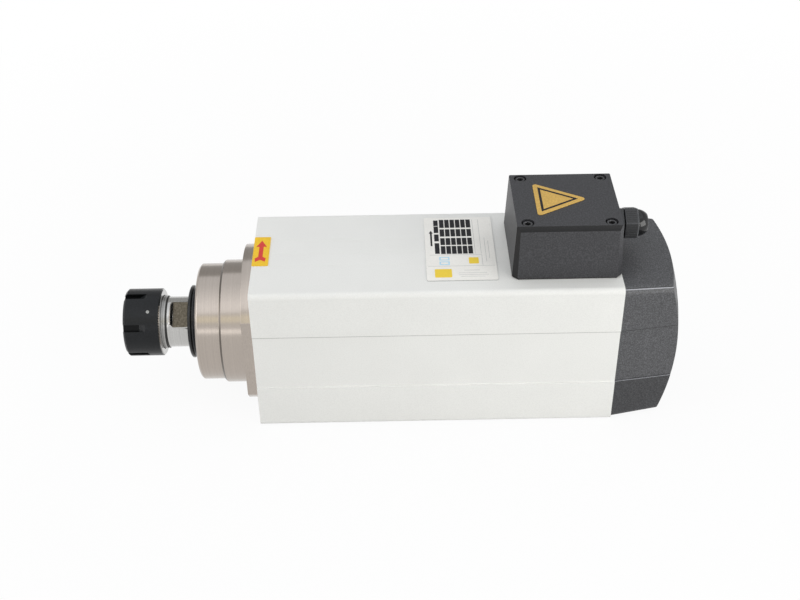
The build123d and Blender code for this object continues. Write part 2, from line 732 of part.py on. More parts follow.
def box_screws():
    """The four screws that hold the terminal box down."""
    seat = lid_top - BOX_SCREW_RECESS
    length = seat - top + BOX_SCREW_BITE - TAPPED_SPARE
    screws = []
    for x, y in corners(box_screw_pitch, box_screw_pitch):
        head = Pos(0, 0, BOX_SCREW_HEAD_HEIGHT / 2) * Cylinder(BOX_SCREW_HEAD / 2, BOX_SCREW_HEAD_HEIGHT)
        shank = Pos(0, 0, -length / 2) * Cylinder(BOX_SCREW / 2, length)
        screws.append(Pos(box_x + x, y, seat) * (head + shank))
    return Part() + screws


def terminal_block():
    """The moulded block inside the box, with a lower step in front for the wires."""
    block = Box(BLOCK_LENGTH, BLOCK_DEPTH, BLOCK_HEIGHT)
    block -= Pos(0, -BLOCK_DEPTH / 2, BLOCK_HEIGHT / 2) * Box(BLOCK_LENGTH, BLOCK_STEP * 2, BLOCK_STEP * 2)
    return Pos(box_x, BLOCK_OFFSET, top + BLOCK_HEIGHT / 2) * block


def terminal_studs():
    """The three brass terminal nuts on the block, one for each phase."""
    nuts = []
    for number in (-1, 0, 1):
        nut = extrude(RegularPolygon(STUD_FLATS / 2, 6, major_radius=False), amount=STUD_HEIGHT)
        y = BLOCK_OFFSET + BLOCK_STEP / 2
        nuts.append(Pos(box_x + number * STUD_PITCH, y, top + BLOCK_HEIGHT) * nut)
    return Part() + nuts


# ---------------------------------------------------------------- cable gland
def on_gland(piece):
    """Move a piece from the spindle axis to the gland's axis, with a corner of each hexagon upwards."""
    return Pos(0, 0, gland_z) * Rot(30, 0, 0) * piece


def gland_body():
    """The gland's threaded body, with a hexagonal collar against the box wall."""
    inside = wall_inside - GLAND_THREAD_INSIDE
    thread_end = gland_x + GLAND_COLLAR + GLAND_NUT_LENGTH - GLAND_NUT_BEYOND
    collar = hexagon(gland_x, GLAND_FLATS, GLAND_COLLAR, GLAND_BORE)
    return on_gland(collar + ring(inside, thread_end, GLAND_THREAD, GLAND_BORE))


def gland_nut():
    """The hexagonal nut with a domed end that squeezes the gland's seal onto the cable."""
    start = gland_x + GLAND_COLLAR + FIXED_FIT
    shoulder = gland_x + GLAND_COLLAR + GLAND_NUT_LENGTH
    nut = extrude(across(start) * RegularPolygon(GLAND_FLATS / 2, 6, major_radius=False), amount=shoulder - start)
    end = nut.faces().sort_by(Axis.X)[-1]
    nut = chamfer(end.edges(), length=GLAND_BEVEL, length2=GLAND_BEVEL, reference=end)
    tip = shoulder + GLAND_DOME_LENGTH
    middle = GLAND_DOME_LENGTH / 2
    arc = ThreePointArc(
        (shoulder, 0, GLAND_DOME_RADIUS),
        (shoulder + middle, 0, sqrt(GLAND_DOME_RADIUS**2 - middle**2)),
        (tip, 0, sqrt(GLAND_DOME_RADIUS**2 - GLAND_DOME_LENGTH**2)),
    )
    mouth = GLAND_MOUTH / 2
    rest = Polyline(arc @ 1, (tip, 0, mouth), (start, 0, mouth), (start, 0, GLAND_DOME_RADIUS), arc @ 0)
    nut += revolve(make_face([arc, rest]), axis=Axis.X)
    nut -= rod(start, 0, 0, GLAND_THREAD + 2 * THREAD_FIT, shoulder - start)
    nut -= rod(start, 0, 0, GLAND_MOUTH, tip - start)
    return on_gland(nut)


def gland_locknut():
    """The nut that holds the gland from inside the box."""
    start = wall_inside - GLAND_LOCKNUT
    return on_gland(hexagon(start, GLAND_FLATS, GLAND_LOCKNUT, GLAND_THREAD + 2 * FIXED_FIT))


# ---------------------------------------------------------------- plates on the outside
def nameplate():
    """The blank rating plate on top of the housing."""
    plate = Box(NAMEPLATE_LENGTH, NAMEPLATE_DEPTH, PLATE_SKIN)
    return Pos(front + NAMEPLATE_FROM_FRONT, NAMEPLATE_OFFSET, top + PLATE_SKIN / 2) * plate


def arrow_plate():
    """The small plate at the front edge that carries the turning arrow."""
    plate = Box(ARROW_PLATE_LENGTH, ARROW_PLATE_DEPTH, PLATE_SKIN)
    return Pos(front + ARROW_PLATE_LENGTH / 2, ARROW_PLATE_OFFSET, top + PLATE_SKIN / 2) * plate


def lid_badge():
    """The blank three-sided plate on the terminal box."""
    half = BADGE_HEIGHT / sqrt(3)
    outline = Polygon((0, half), (0, -half), (BADGE_HEIGHT, 0), align=None)
    outline = fillet(outline.vertices(), BADGE_CORNER)
    return Pos(box_x + BADGE_BASE, 0, lid_top) * extrude(outline, amount=PLATE_SKIN)


# ---------------------------------------------------------------- write every piece
save(body_housing(), "body_housing")
save(front_flange(), "front_flange")
save(flange_screws(), "flange_screws")
save(front_bearing_cover(), "front_bearing_cover")
save(bearing_outer_rings(), "bearing_outer_rings")
save(bearing_inner_rings(), "bearing_inner_rings")
save(spindle_shaft(), "spindle_shaft")
save(slinger_ring(), "slinger_ring")
save(bearing_locknut(), "bearing_locknut")
save(rotor_core(), "rotor_core")
save(rotor_end_rings(), "rotor_end_rings")
save(stator_core(), "stator_core")
save(stator_windings(), "stator_windings")
save(er_collet(), "er_collet")
save(collet_nut(), "collet_nut")
save(nut_plug(), "nut_plug")
save(extraction_ring(), "extraction_ring")
save(rear_shield(), "rear_shield")
save(cooling_fan(), "cooling_fan")
save(fan_nut(), "fan_nut")
save(fan_cover(), "fan_cover")
save(cover_screws(), "cover_screws")
save(terminal_box_cover(), "terminal_box_cover")
save(box_gasket(), "box_gasket")
save(box_screws(), "box_screws")
save(terminal_block(), "terminal_block")
save(terminal_studs(), "terminal_studs")
save(gland_body(), "gland_body")
save(gland_nut(), "gland_nut")
save(gland_locknut(), "gland_locknut")
save(nameplate(), "nameplate")
save(arrow_plate(), "arrow_plate")
save(lid_badge(), "lid_badge")
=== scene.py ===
"""Looks of the square motor spindle: finishes for its solids, and the detail that the solids leave out."""

from functools import cache
from math import cos, pi, radians, sin, sqrt

import bmesh
import bpy
from mathutils import Matrix, Vector


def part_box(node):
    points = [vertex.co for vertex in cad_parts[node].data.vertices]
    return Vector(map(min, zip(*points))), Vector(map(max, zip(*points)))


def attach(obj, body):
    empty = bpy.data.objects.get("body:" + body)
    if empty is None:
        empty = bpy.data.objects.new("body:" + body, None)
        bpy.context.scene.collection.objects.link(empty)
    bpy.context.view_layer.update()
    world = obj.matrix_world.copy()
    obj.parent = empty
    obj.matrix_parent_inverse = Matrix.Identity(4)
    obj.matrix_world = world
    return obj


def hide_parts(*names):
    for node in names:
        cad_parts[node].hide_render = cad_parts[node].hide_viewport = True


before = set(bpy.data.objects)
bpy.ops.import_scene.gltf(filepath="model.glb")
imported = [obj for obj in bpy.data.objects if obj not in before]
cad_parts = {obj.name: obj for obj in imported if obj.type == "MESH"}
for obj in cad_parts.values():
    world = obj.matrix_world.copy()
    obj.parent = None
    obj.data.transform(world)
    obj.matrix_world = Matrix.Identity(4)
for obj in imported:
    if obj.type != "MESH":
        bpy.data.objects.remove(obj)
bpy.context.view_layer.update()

bl_info = {
    "name": "Motor spindle dressing",
    "version": (1, 0, 0),
    "blender": (4, 5, 0),
    "location": "3D View > Sidebar > Spindle",
    "description": "Dresses the motor spindle's solids with finishes and fine detail",
    "category": "Object",
}

AXIS_HEIGHT = (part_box("rotor_core")[0][2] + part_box("rotor_core")[1][2]) / 2
TOP_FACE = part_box("body_housing")[1][2]
MM = 0.001
MICRON = 0.000001
HAIR = 0.00001  # a hundredth of a millimetre, for margins and for print that reaches into its plate


# ------------------------------------------------------------------ sizes and colours that a user changes
def length(name, description, default):
    """A size in metres."""
    return bpy.props.FloatProperty(name=name, description=description, default=default, unit="LENGTH")


def tint(name, description, default):
    """A colour, in linear values."""
    return bpy.props.FloatVectorProperty(name=name, description=description, default=default, subtype="COLOR")


class SpindleSizes(bpy.types.PropertyGroup):
    """Sizes of the detail that the solids leave out."""

    edge_round: length("Edge round", "Radius of the broken edges", 0.0003)
    thread_pitch: length("Thread pitch", "Pitch of the nut thread", 0.0015)
    thread_radius: length("Thread radius", "Radius over the thread's crests", 0.02)
    thread_rise: length("Thread rise", "Height of a thread crest over its root", 0.0009)
    scribe_depth: length("Scribe depth", "Depth of the scribe lines on the top face", 0.00006)
    # The dark strip under the side band's upper step is painted shadow, and the ridge line along the fan
    # cover's top edges a painted highlight.
    shadow_strip: length("Shadow strip", "Height of the dark strip under the side band's upper step", 0.0012)
    ridge_line: length("Ridge line", "Width of the rubbed line along the fan cover's top edges", 0.0008)
    slinger_lip: length("Slinger lip", "Width of each of the slinger's two lips", 0.0029)
    slinger_groove: length("Slinger groove", "Depth of the groove between the lips", 0.0012)
    gland_ribs: bpy.props.IntProperty(
        name="Gland ribs", description="Grip ribs on each flat of the gland's nut", default=6, min=2, max=12
    )
    gland_rib_width: length("Gland rib width", "Width of one grip rib", 0.0008)
    gland_gap: length("Gland gap", "Gap between the gland's collar and its nut", 0.0009)
    socket_share: bpy.props.FloatProperty(
        name="Socket share", description="Socket's share of the screw head", default=0.56, subtype="FACTOR"
    )
    ink_height: length("Ink height", "Thickness of the printed layer", 0.00006)


class SpindleColours(bpy.types.PropertyGroup):
    """Colours of the finishes."""

    anodised: tint("Anodised", "Housing", (0.738, 0.738, 0.716))
    nose_steel: tint("Nose steel", "Turned nose flange", (0.45, 0.40, 0.355))
    shaft_steel: tint("Shaft steel", "Ground shaft", (0.53, 0.525, 0.51))
    black_oxide: tint("Black oxide", "Clamping nut", (0.009, 0.0098, 0.011))
    powder_coat: tint("Powder coat", "Fan cover", (0.041, 0.0415, 0.0445))
    moulding: tint("Moulding", "Terminal box", (0.0185, 0.0186, 0.021))
    gland_black: tint("Gland black", "Cable gland", (0.015, 0.0155, 0.017))
    plate_white: tint("Plate white", "Rating plate", (0.80, 0.785, 0.745))
    arrow_yellow: tint("Arrow yellow", "Arrow plate", (0.80, 0.50, 0.008))
    arrow_red: tint("Arrow red", "Arrow on its plate", (0.62, 0.032, 0.022))
    badge_gold: tint("Badge gold", "Three-sided plate on the lid", (0.57, 0.36, 0.085))
    ink_black: tint("Ink black", "Black print", (0.012, 0.012, 0.014))
    ink_blue: tint("Ink blue", "Pale blue print", (0.42, 0.66, 0.80))


# ------------------------------------------------------------------ nodes
def feed(tree, socket, value):
    """Links a socket to another node's output, or gives it a plain value."""
    if isinstance(value, bpy.types.NodeSocket):
        tree.links.new(value, socket)
    else:
        socket.default_value = value


def add(tree, kind, inputs, **settings):
    """A new node with its settings and fed inputs. Gives its outputs."""
    node = tree.nodes.new(kind)
    for label, value in settings.items():
        setattr(node, label, value)
    for label, value in inputs.items():
        feed(tree, node.inputs[label], value)
    return node.outputs


def calculate(tree, operation, *values):
    """The result of a math node on sockets or numbers."""
    return add(tree, "ShaderNodeMath", dict(enumerate(values)), operation=operation)[0]


def mix_colour(tree, factor, first, second, blend="MIX"):
    """The result of a colour mix."""
    return add(tree, "ShaderNodeMix", {0: factor, 6: first, 7: second}, data_type="RGBA", blend_type=blend)[2]


def noise(tree, vector, scale, detail, rough):
    """The value of a noise texture on a vector."""
    inputs = {"Vector": vector, "Scale": scale, "Detail": detail, "Roughness": rough}
    return add(tree, "ShaderNodeTexNoise", inputs)["Fac"]


def spread(tree, value, low, high, out_low=0.0, out_high=1.0):
    """A value's range low..high stretched to another range."""
    inputs = {"Value": value, "From Min": low, "From Max": high, "To Min": out_low, "To Max": out_high}
    return add(tree, "ShaderNodeMapRange", inputs)["Result"]


def node_group(kind, name, inputs, outputs):
    """A new group with named sockets. Gives the group, what goes into its nodes and what they have to feed."""
    tree = bpy.data.node_groups.new(name, kind)
    for label, (socket_type, default) in inputs.items():
        socket = tree.interface.new_socket(name=label, in_out="INPUT", socket_type="NodeSocket" + socket_type)
        if default is not None:
            socket.default_value = default
    for label, socket_type in outputs.items():
        tree.interface.new_socket(name=label, in_out="OUTPUT", socket_type="NodeSocket" + socket_type)
    return tree, tree.nodes.new("NodeGroupInput").outputs, tree.nodes.new("NodeGroupOutput").inputs


# ------------------------------------------------------------------ shader groups that the finishes share
def marks_group(name, own_inputs):
    """A new group of surface marks, with the sockets that all such groups have."""
    grey = (0.5, 0.5, 0.5, 1.0)
    inputs = {
        "Vector": ("Vector", None), "Base": ("Color", grey), "Accent": ("Color", grey),
        "Scale": ("Float", 900.0), "Rough Low": ("Float", 0.35), "Rough High": ("Float", 0.5), **own_inputs,
    }
    outputs = {"Color": "Color", "Roughness": "Float", "Height": "Float"}
    return node_group("ShaderNodeTree", name, inputs, outputs)


def end_marks(tree, given, end, colour, swing, height):
    """Ends a group of marks. swing, from 0 to 1, sets the roughness between its two limits."""
    span = calculate(tree, "SUBTRACT", given["Rough High"], given["Rough Low"])
    rough = calculate(tree, "ADD", given["Rough Low"], calculate(tree, "MULTIPLY", span, swing))
    for label, value in (("Color", colour), ("Roughness", rough), ("Height", height)):
        feed(tree, end[label], value)
    return tree


@cache
def grain_group():
    """Fine even grain, for anodising, powder coat, spark-eroded mouldings and print."""
    clouds = {"Cloud Scale": ("Float", 25.0), "Cloud Depth": ("Float", 0.05)}
    tree, given, end = marks_group("Fine grain", clouds)
    fine = noise(tree, given["Vector"], given["Scale"], 2.5, 0.6)
    cloud = noise(tree, given["Vector"], given["Cloud Scale"], 3.0, 0.5)
    colour = mix_colour(tree, spread(tree, fine, 0.42, 0.68), given["Base"], given["Accent"])
    swing = calculate(tree, "MULTIPLY", spread(tree, cloud, 0.3, 0.7, -1.0, 1.0), given["Cloud Depth"])
    shade = calculate(tree, "ADD", swing, 1.0)
    grey = add(tree, "ShaderNodeCombineColor", dict.fromkeys(range(3), shade))[0]
    return end_marks(tree, given, end, mix_colour(tree, 1.0, colour, grey, "MULTIPLY"), cloud, fine)


@cache
def turning_group():
    """Lathe marks: fine rings round the spindle axis, with slow bands of tone."""
    tree, given, end = marks_group("Turning marks", {"Axis Height": ("Float", AXIS_HEIGHT)})
    split = add(tree, "ShaderNodeSeparateXYZ", {0: given["Vector"]})
    lift = calculate(tree, "SUBTRACT", split["Z"], given["Axis Height"])
    squares = [calculate(tree, "MULTIPLY", value, value) for value in (split["Y"], lift)]
    radius = calculate(tree, "SQRT", calculate(tree, "ADD", *squares))
    rings = add(tree, "ShaderNodeCombineXYZ", {"X": split["X"], "Y": radius})[0]
    lines = noise(tree, rings, given["Scale"], 2.0, 0.7)
    bands = noise(tree, rings, 140.0, 2.0, 0.5)
    specks = noise(tree, given["Vector"], 700.0, 2.0, 0.6)
    parts = [calculate(tree, "MULTIPLY", *part) for part in ((lines, 0.55), (bands, 0.25), (specks, 0.2))]
    tone = calculate(tree, "ADD", calculate(tree, "ADD", parts[0], parts[1]), parts[2])
    colour = mix_colour(tree, spread(tree, tone, 0.35, 0.65), given["Base"], given["Accent"])
    return end_marks(tree, given, end, colour, lines, lines)


# ------------------------------------------------------------------ finishes
INK = (900, (0.36, 0.46), 0, 0.06, 10)
# A finish is its label, its colours, the scale of its marks, its roughness limits, how metallic it is, its
# bump's strength and its depth in micrometres and, where they differ, its specular level and cloud depth. Its
# colours are a base and an accent, or the name of one that the user sets and the shares of it that they are.
GRAINED = {
    "anodised": ("Satin anodising", ("anodised", 1, 0.94), 1300, (0.4, 0.52), 0, 0.16, 30, 0.5, 0.012),
    # painted highlight: a bright, part-metallic finish on the housing's lower step
    "step": ("Burnished step", ((0.93, 0.93, 0.92), (0.88, 0.88, 0.87)), 900, (0.3, 0.4), 0.7, 0.1, 20),
    # painted shadow: darker anodising on the strip under the housing's upper step
    "seam": ("Anodised seam", ("anodised", 0.62, 0.5), 900, (0.5, 0.6), 0, 0.1, 20),
    "milled": (
        "Milled flat steel", ((0.085, 0.073, 0.054), (0.15, 0.132, 0.102)), 900, (0.3, 0.46), 1, 0.2, 20
    ),
    "oxide": ("Black oxide", ("black_oxide", 1, 1.6), 1200, (0.24, 0.36), 0, 0.12, 20, 0.2),
    # painted shade: darker black oxide in the nut's slots
    "slot": ("Black oxide slots", ("black_oxide", 0.35, 0.7), 1200, (0.3, 0.4), 0, 0.12, 20, 0.12),
    "pin": ("Dull pin", ((0.3, 0.3, 0.29), (0.22, 0.22, 0.21)), 900, (0.3, 0.45), 1, 0.15, 20),
    "coat": ("Speckled powder coat", ("powder_coat", 0.95, 2.5), 1150, (0.4, 0.56), 0, 0.5, 110),
    # painted shade: a darker coat on the fan cover's band below its lower step
    "coat shade": (
        "Powder coat, lower band", ("powder_coat", 0.6, 1.5), 1150, (0.45, 0.6), 0, 0.5, 110, 0.36
    ),
    # painted highlight: a much lighter coat along the fan cover's top edges and on its lower step
    "coat edge": ("Rubbed coat edge", ("powder_coat", 7, 9), 900, (0.3, 0.42), 0, 0.3, 60),
    # painted shadow: a darker coat at the fan cover's steps and beside its highlight line
    "coat seam": ("Coat seam", ("powder_coat", 0.35, 0.6), 900, (0.5, 0.6), 0, 0.3, 60),
    "moulding": ("Eroded black moulding", ("moulding", 1, 2.4), 950, (0.4, 0.55), 0, 0.45, 100),
    # painted shade: a darker moulding on the terminal box's corner strips and lid edges
    "moulding edge": ("Shaded moulding edge", ("moulding", 0.25, 0.5), 1300, (0.4, 0.55), 0, 0.35, 70, 0.3),
    "gland": ("Gland nylon", ("gland_black", 1, 1.6), 900, (0.26, 0.38), 0, 0.12, 30),
    # painted highlight: a lighter nylon on the rounded ridges of the gland's nut
    "gland edge": ("Gland nylon edge", ("gland_black", 3.5, 5), 900, (0.2, 0.3), 0, 0.1, 30),
    "dome": ("Glossy gland dome", ("gland_black", 0.3, 0.6), 400, (0.06, 0.12), 0, 0.03, 20, 0.42),
    "white plate": ("Rating plate white", ("plate_white", 1, 0.95), 900, (0.34, 0.42), 0, 0.08, 10),
    # painted shade: grey side faces that draw a dark line round the rating plate
    "plate edge": ("Plate edge", ((0.3, 0.3, 0.3), (0.4, 0.4, 0.4)), 900, (0.4, 0.5), 0, 0.05, 10),
    "yellow plate": ("Arrow plate yellow", ("arrow_yellow", 1, 0.92), 700, (0.34, 0.44), 0, 0.08, 10),
    "gold": ("Brushed gold plate", ("badge_gold", 1, 1.25), 900, (0.36, 0.5), 0.35, 0.15, 20),
    "red ink": ("Arrow red ink", ("arrow_red", 1, 0.9), *INK),
    "yellow ink": ("Patch yellow ink", ((0.80, 0.58, 0.03), (0.76, 0.54, 0.03)), *INK),
    "black ink": ("Black ink", ("ink_black", 1, 1.8), *INK, 0.15),
    "grey ink": ("Grey rule ink", ((0.42, 0.42, 0.41), (0.46, 0.46, 0.45)), *INK),
    "blue ink": ("Pale blue ink", ("ink_blue", 1, 0.95), *INK),
    "screw": (
        "Blackened screw", ((0.055, 0.055, 0.058), (0.08, 0.08, 0.084)), 1500, (0.26, 0.4), 0.6, 0.1, 10
    ),
    "zinc": ("Zinc-plated steel", ((0.5, 0.5, 0.52), (0.6, 0.6, 0.6)), 1200, (0.25, 0.4), 1, 0.1, 10),
    "cast": ("Cast aluminium", ((0.58, 0.59, 0.6), (0.5, 0.51, 0.52)), 700, (0.42, 0.6), 0.9, 0.4, 80),
    "fan": ("Fan moulding", ((0.035, 0.036, 0.04), (0.05, 0.051, 0.056)), 600, (0.4, 0.55), 0, 0.2, 40),
    "rubber": ("Gasket rubber", ((0.02, 0.02, 0.02), (0.03, 0.03, 0.03)), 500, (0.6, 0.8), 0, 0.3, 50),
    "cream": (
        "Terminal block moulding", ((0.55, 0.52, 0.45), (0.6, 0.57, 0.5)), 500, (0.4, 0.55), 0, 0.2, 40
    ),
    "brass": ("Plain brass", ((0.62, 0.42, 0.14), (0.54, 0.36, 0.11)), 900, (0.22, 0.36), 1, 0.1, 10),
}
TURNED = {
    "nose": ("Turned nose steel", ("nose_steel", 1, 0.87), 1300, (0.14, 0.24), 1, 0.1, 20),
    # painted shade: darker steel on the chamfer of the nose's step
    "nose edge": ("Shaded nose edge", ("nose_steel", 0.4, 0.3), 1300, (0.3, 0.4), 1, 0.1, 20),
    "ground": ("Ground shaft steel", ("shaft_steel", 1, 0.82), 2600, (0.14, 0.24), 1, 0.12, 10),
    "crest": ("Thread crests", ("shaft_steel", 0.72, 0.6), 1500, (0.24, 0.36), 1, 0.15, 20),
    # painted shade: near-black steel in the thread's roots
    "thread": ("Thread roots", ("shaft_steel", 0.1, 0.06), 1500, (0.4, 0.6), 1, 0.2, 20),
    "slinger": ("Blackened ring", ("black_oxide", 0.7, 1.1), 1800, (0.16, 0.28), 0, 0.1, 20, 0.4),
    "bearing": (
        "Ground bearing steel", ((0.6, 0.61, 0.63), (0.5, 0.51, 0.53)), 2400, (0.12, 0.22), 1, 0.1, 10
    ),
    "laminations": (
        "Stacked laminations", ((0.34, 0.34, 0.36), (0.16, 0.16, 0.17)), 1800, (0.4, 0.6), 0.8, 0.5, 60
    ),
    "copper": (
        "Varnished windings", ((0.5, 0.22, 0.08), (0.28, 0.1, 0.035)), 900, (0.25, 0.4), 0.8, 0.6, 200
    ),
}


def tones(colours):
    """The base and the accent of a finish, from its colours in the tables."""
    if len(colours) == 2:
        return colours
    name, *shares = colours
    chosen = getattr(bpy.context.scene.spindle_colours, name)
    return [[channel * share for channel in chosen] for share in shares]


def procedural(marks, label, colours, scale, rough, metallic, bump, depth, specular=0.5, cloud=None):
    """A material in object coordinates, from its group of marks and a finish in the tables."""
    base, accent = tones(colours)
    material = bpy.data.materials.new(label)
    material.use_nodes = True
    tree = material.node_tree
    inputs = {
        "Vector": add(tree, "ShaderNodeTexCoord", {})["Object"], "Base": (*base, 1), "Accent": (*accent, 1),
        "Scale": scale, "Rough Low": rough[0], "Rough High": rough[1],
    }
    if cloud is not None:
        inputs["Cloud Depth"] = cloud
    surface = add(tree, "ShaderNodeGroup", inputs, node_tree=marks)
    relief = {"Strength": bump, "Distance": depth * MICRON, "Height": surface["Height"]}
    dent = add(tree, "ShaderNodeBump", relief)
    shader = {
        "Base Color": surface["Color"], "Roughness": surface["Roughness"], "Normal": dent["Normal"],
        "Metallic": metallic, "Specular IOR Level": specular,
    }
    for socket, value in shader.items():
        feed(tree, tree.nodes["Principled BSDF"].inputs[socket], value)
    return material


@cache
def coloured(name):
    """The material of a finish, made the first time that it is asked for."""
    if name in TURNED:
        return procedural(turning_group(), *TURNED[name])
    return procedural(grain_group(), *GRAINED[name])


# ------------------------------------------------------------------ shapes
QUARTERS = ((1, 1), (-1, 1), (-1, -1), (1, -1))


def cleaned_copy(node):
    """The solid's own shape as a new mesh with whole flat faces, ready to be smoothed."""
    shape = bmesh.new()
    shape.from_mesh(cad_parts[node].data)
    bmesh.ops.remove_doubles(shape, verts=shape.verts, dist=1e-6)
    bmesh.ops.dissolve_limit(shape, angle_limit=radians(0.3), verts=shape.verts, edges=shape.edges)
    return shape


def lathe(profile, count, centre=(0.0, AXIS_HEIGHT), loop=False):
    """A profile of (x, radius) turned about a line parallel to X. A radius may be made from the angle."""
    shape = bmesh.new()
    angles = [2 * pi * number / count for number in range(count)]
    rows = []
    for x, radius in profile:
        row = []
        for angle in angles:
            r = radius(angle) if callable(radius) else radius
            row.append(shape.verts.new((x, centre[0] + r * cos(angle), centre[1] + r * sin(angle))))
        rows.append(row)
    for first, second in zip(rows, rows[1:] + rows[:1] if loop else rows[1:]):
        for corners in zip(first, first[1:] + first[:1], second[1:] + second[:1], second):
            shape.faces.new(corners)
    if not loop:
        shape.faces.new(rows[0])
        shape.faces.new(rows[-1])
    bmesh.ops.recalc_face_normals(shape, faces=shape.faces)
    return shape


def hexagon(flat, angle):
    """The radius at an angle of a hexagon whose sides lie flat from its centre."""
    return flat / cos((angle + pi / 6) % (pi / 3) - pi / 6)


def slab(outline, low, high):
    """A flat plate from its outline in X and Y, between two heights."""
    shape = bmesh.new()
    face = shape.faces.new([shape.verts.new((x, y, low)) for x, y in outline])
    for item in bmesh.ops.extrude_face_region(shape, geom=[face])["geom"]:
        if isinstance(item, bmesh.types.BMVert):
            item.co.z = high
    bmesh.ops.recalc_face_normals(shape, faces=shape.faces)
    return shape


def oblong(x, y, length, depth, corner=0.0, steps=4):
    """The outline of a rectangle about a centre, with round corners."""
    if corner <= 0:
        return [(x + sx * length / 2, y + sy * depth / 2) for sx, sy in QUARTERS]
    points = []
    for quarter, (sx, sy) in enumerate(QUARTERS):
        middle_x = x + sx * (length / 2 - corner)
        middle_y = y + sy * (depth / 2 - corner)
        for step in range(steps + 1):
            angle = pi / 2 * (quarter + step / steps)
            points.append((middle_x + corner * cos(angle), middle_y + corner * sin(angle)))
    return points


def plate(node, corner):
    """A flat plate with round corners, in the place of a solid."""
    low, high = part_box(node)
    middle = ((low[0] + high[0]) / 2, (low[1] + high[1]) / 2)
    return slab(oblong(*middle, high[0] - low[0], high[1] - low[1], corner), low[2], high[2])


def border(outer, inner, low, high):
    """Flat strips between two outlines with as many corners."""
    sides = zip(outer, outer[1:] + outer[:1], inner[1:] + inner[:1], inner)
    return [slab(corners, low, high) for corners in sides]


def joined(shapes):
    """Several shapes in one."""
    whole = bmesh.new()
    for shape in shapes:
        mesh = bpy.data.meshes.new("part")
        shape.to_mesh(mesh)
        shape.free()
        whole.from_mesh(mesh)
        bpy.data.meshes.remove(mesh)
    return whole


# ------------------------------------------------------------------ shapes made into pieces
def new_object(name, mesh):
    """A new object in the scene."""
    piece = bpy.data.objects.new(name, mesh)
    bpy.context.scene.collection.objects.link(piece)
    return piece


def shaded(mesh, angle):
    """Smooth shading that stops at the sharp edges."""
    mesh.shade_smooth()
    mesh.set_sharp_from_angle(angle=radians(angle))


def apply_modifiers(piece):
    """Turns a piece's modifiers into its plain mesh."""
    bpy.context.view_layer.update()
    mesh = bpy.data.meshes.new_from_object(piece.evaluated_get(bpy.context.evaluated_depsgraph_get()))
    piece.modifiers.clear()
    piece.data = mesh
    mesh.name = piece.name


def round_edges(piece, width, angle, rubbed):
    """Rounds the edges that turn by more than an angle."""
    bevel = piece.modifiers.new("Broken edges", "BEVEL")
    bevel.width = width
    bevel.segments = 3
    bevel.material = rubbed
    bevel.limit_method = "ANGLE"
    bevel.angle_limit = radians(angle)
    bevel.use_clamp_overlap = True
    apply_modifiers(piece)


def level(piece):
    """Keeps the shading of flat faces level, so that only the rounded edges turn."""
    even = piece.modifiers.new("Level faces", "WEIGHTED_NORMAL")
    even.keep_sharp = True
    even.weight = 100
    apply_modifiers(piece)


def hand_over(piece, body, replaces):
    """Says what a piece rides on, and hides the solids that it stands for."""
    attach(piece, body)
    if replaces:
        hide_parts(*replaces)


def finished(name, shape, finishes, body, replaces=(), edge=0.0, angle=28.0, pick=None, rubbed=-1):
    """Turns a shape into a piece. pick numbers a face's finish, and the last argument numbers the finish of
    the rounded edges, which the gland's nut uses for a painted highlight.
    """
    if pick is not None:
        for face in shape.faces:
            face.material_index = pick(face)
    mesh = bpy.data.meshes.new(name)
    shape.to_mesh(mesh)
    shape.free()
    piece = new_object(name, mesh)
    for finish in finishes:
        mesh.materials.append(coloured(finish))
    if edge > 0:
        round_edges(piece, edge, angle, rubbed)
        angle = max(angle, 36.0)
    shaded(piece.data, angle)
    level(piece)
    hand_over(piece, body, replaces)


def grown(name, tree, values, body, replaces=(), angle=28.0):
    """Runs a geometry tree with its inputs by name, and keeps the plain mesh as a piece."""
    piece = new_object(name, bpy.data.meshes.new(name))
    modifier = piece.modifiers.new(tree.name, "NODES")
    modifier.node_group = tree
    sockets = {item.name: item.identifier for item in tree.interface.items_tree if item.item_type == "SOCKET"}
    for label, value in values.items():
        modifier[sockets[label]] = value
    apply_modifiers(piece)
    if not piece.data.polygons:
        raise RuntimeError(f"{name} came out empty")
    shape = bmesh.new()
    shape.from_mesh(piece.data)
    bmesh.ops.recalc_face_normals(shape, faces=shape.faces)
    shape.to_mesh(piece.data)
    shape.free()
    shaded(piece.data, angle)
    hand_over(piece, body, replaces)


def refinish(finish, *nodes):
    """Gives solids that stay as they are a better finish."""
    for node in nodes:
        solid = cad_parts[node]
        if solid.material_slots:
            solid.material_slots[0].material = coloured(finish)
        else:
            solid.data.materials.append(coloured(finish))


# ------------------------------------------------------------------ geometry trees
def geometry_tree(name, own_inputs):
    """A new geometry tree with its own inputs, its place and its material."""
    inputs = {**own_inputs, "Place": ("Vector", (0, 0, 0)), "Material": ("Material", None)}
    return node_group("GeometryNodeTree", name, inputs, {"Geometry": "Geometry"})


def copies(tree, points, instance, turn=(0, 0, 0)):
    """A turned copy of an instance on each point."""
    inputs = {"Points": points, "Instance": instance, "Rotation": turn}
    return add(tree, "GeometryNodeInstanceOnPoints", inputs)["Instances"]


def end_tree(tree, given, end, geometry, turn=(0, 0, 0)):
    """Ends a tree: its geometry turned, put in its place, made real and given its material."""
    inputs = {"Geometry": geometry, "Translation": given["Place"], "Rotation": turn}
    placed = add(tree, "GeometryNodeTransform", inputs)["Geometry"]
    real = add(tree, "GeometryNodeRealizeInstances", {"Geometry": placed})["Geometry"]
    painted = add(tree, "GeometryNodeSetMaterial", {"Geometry": real, "Material": given["Material"]})
    feed(tree, end["Geometry"], painted["Geometry"])
    return tree


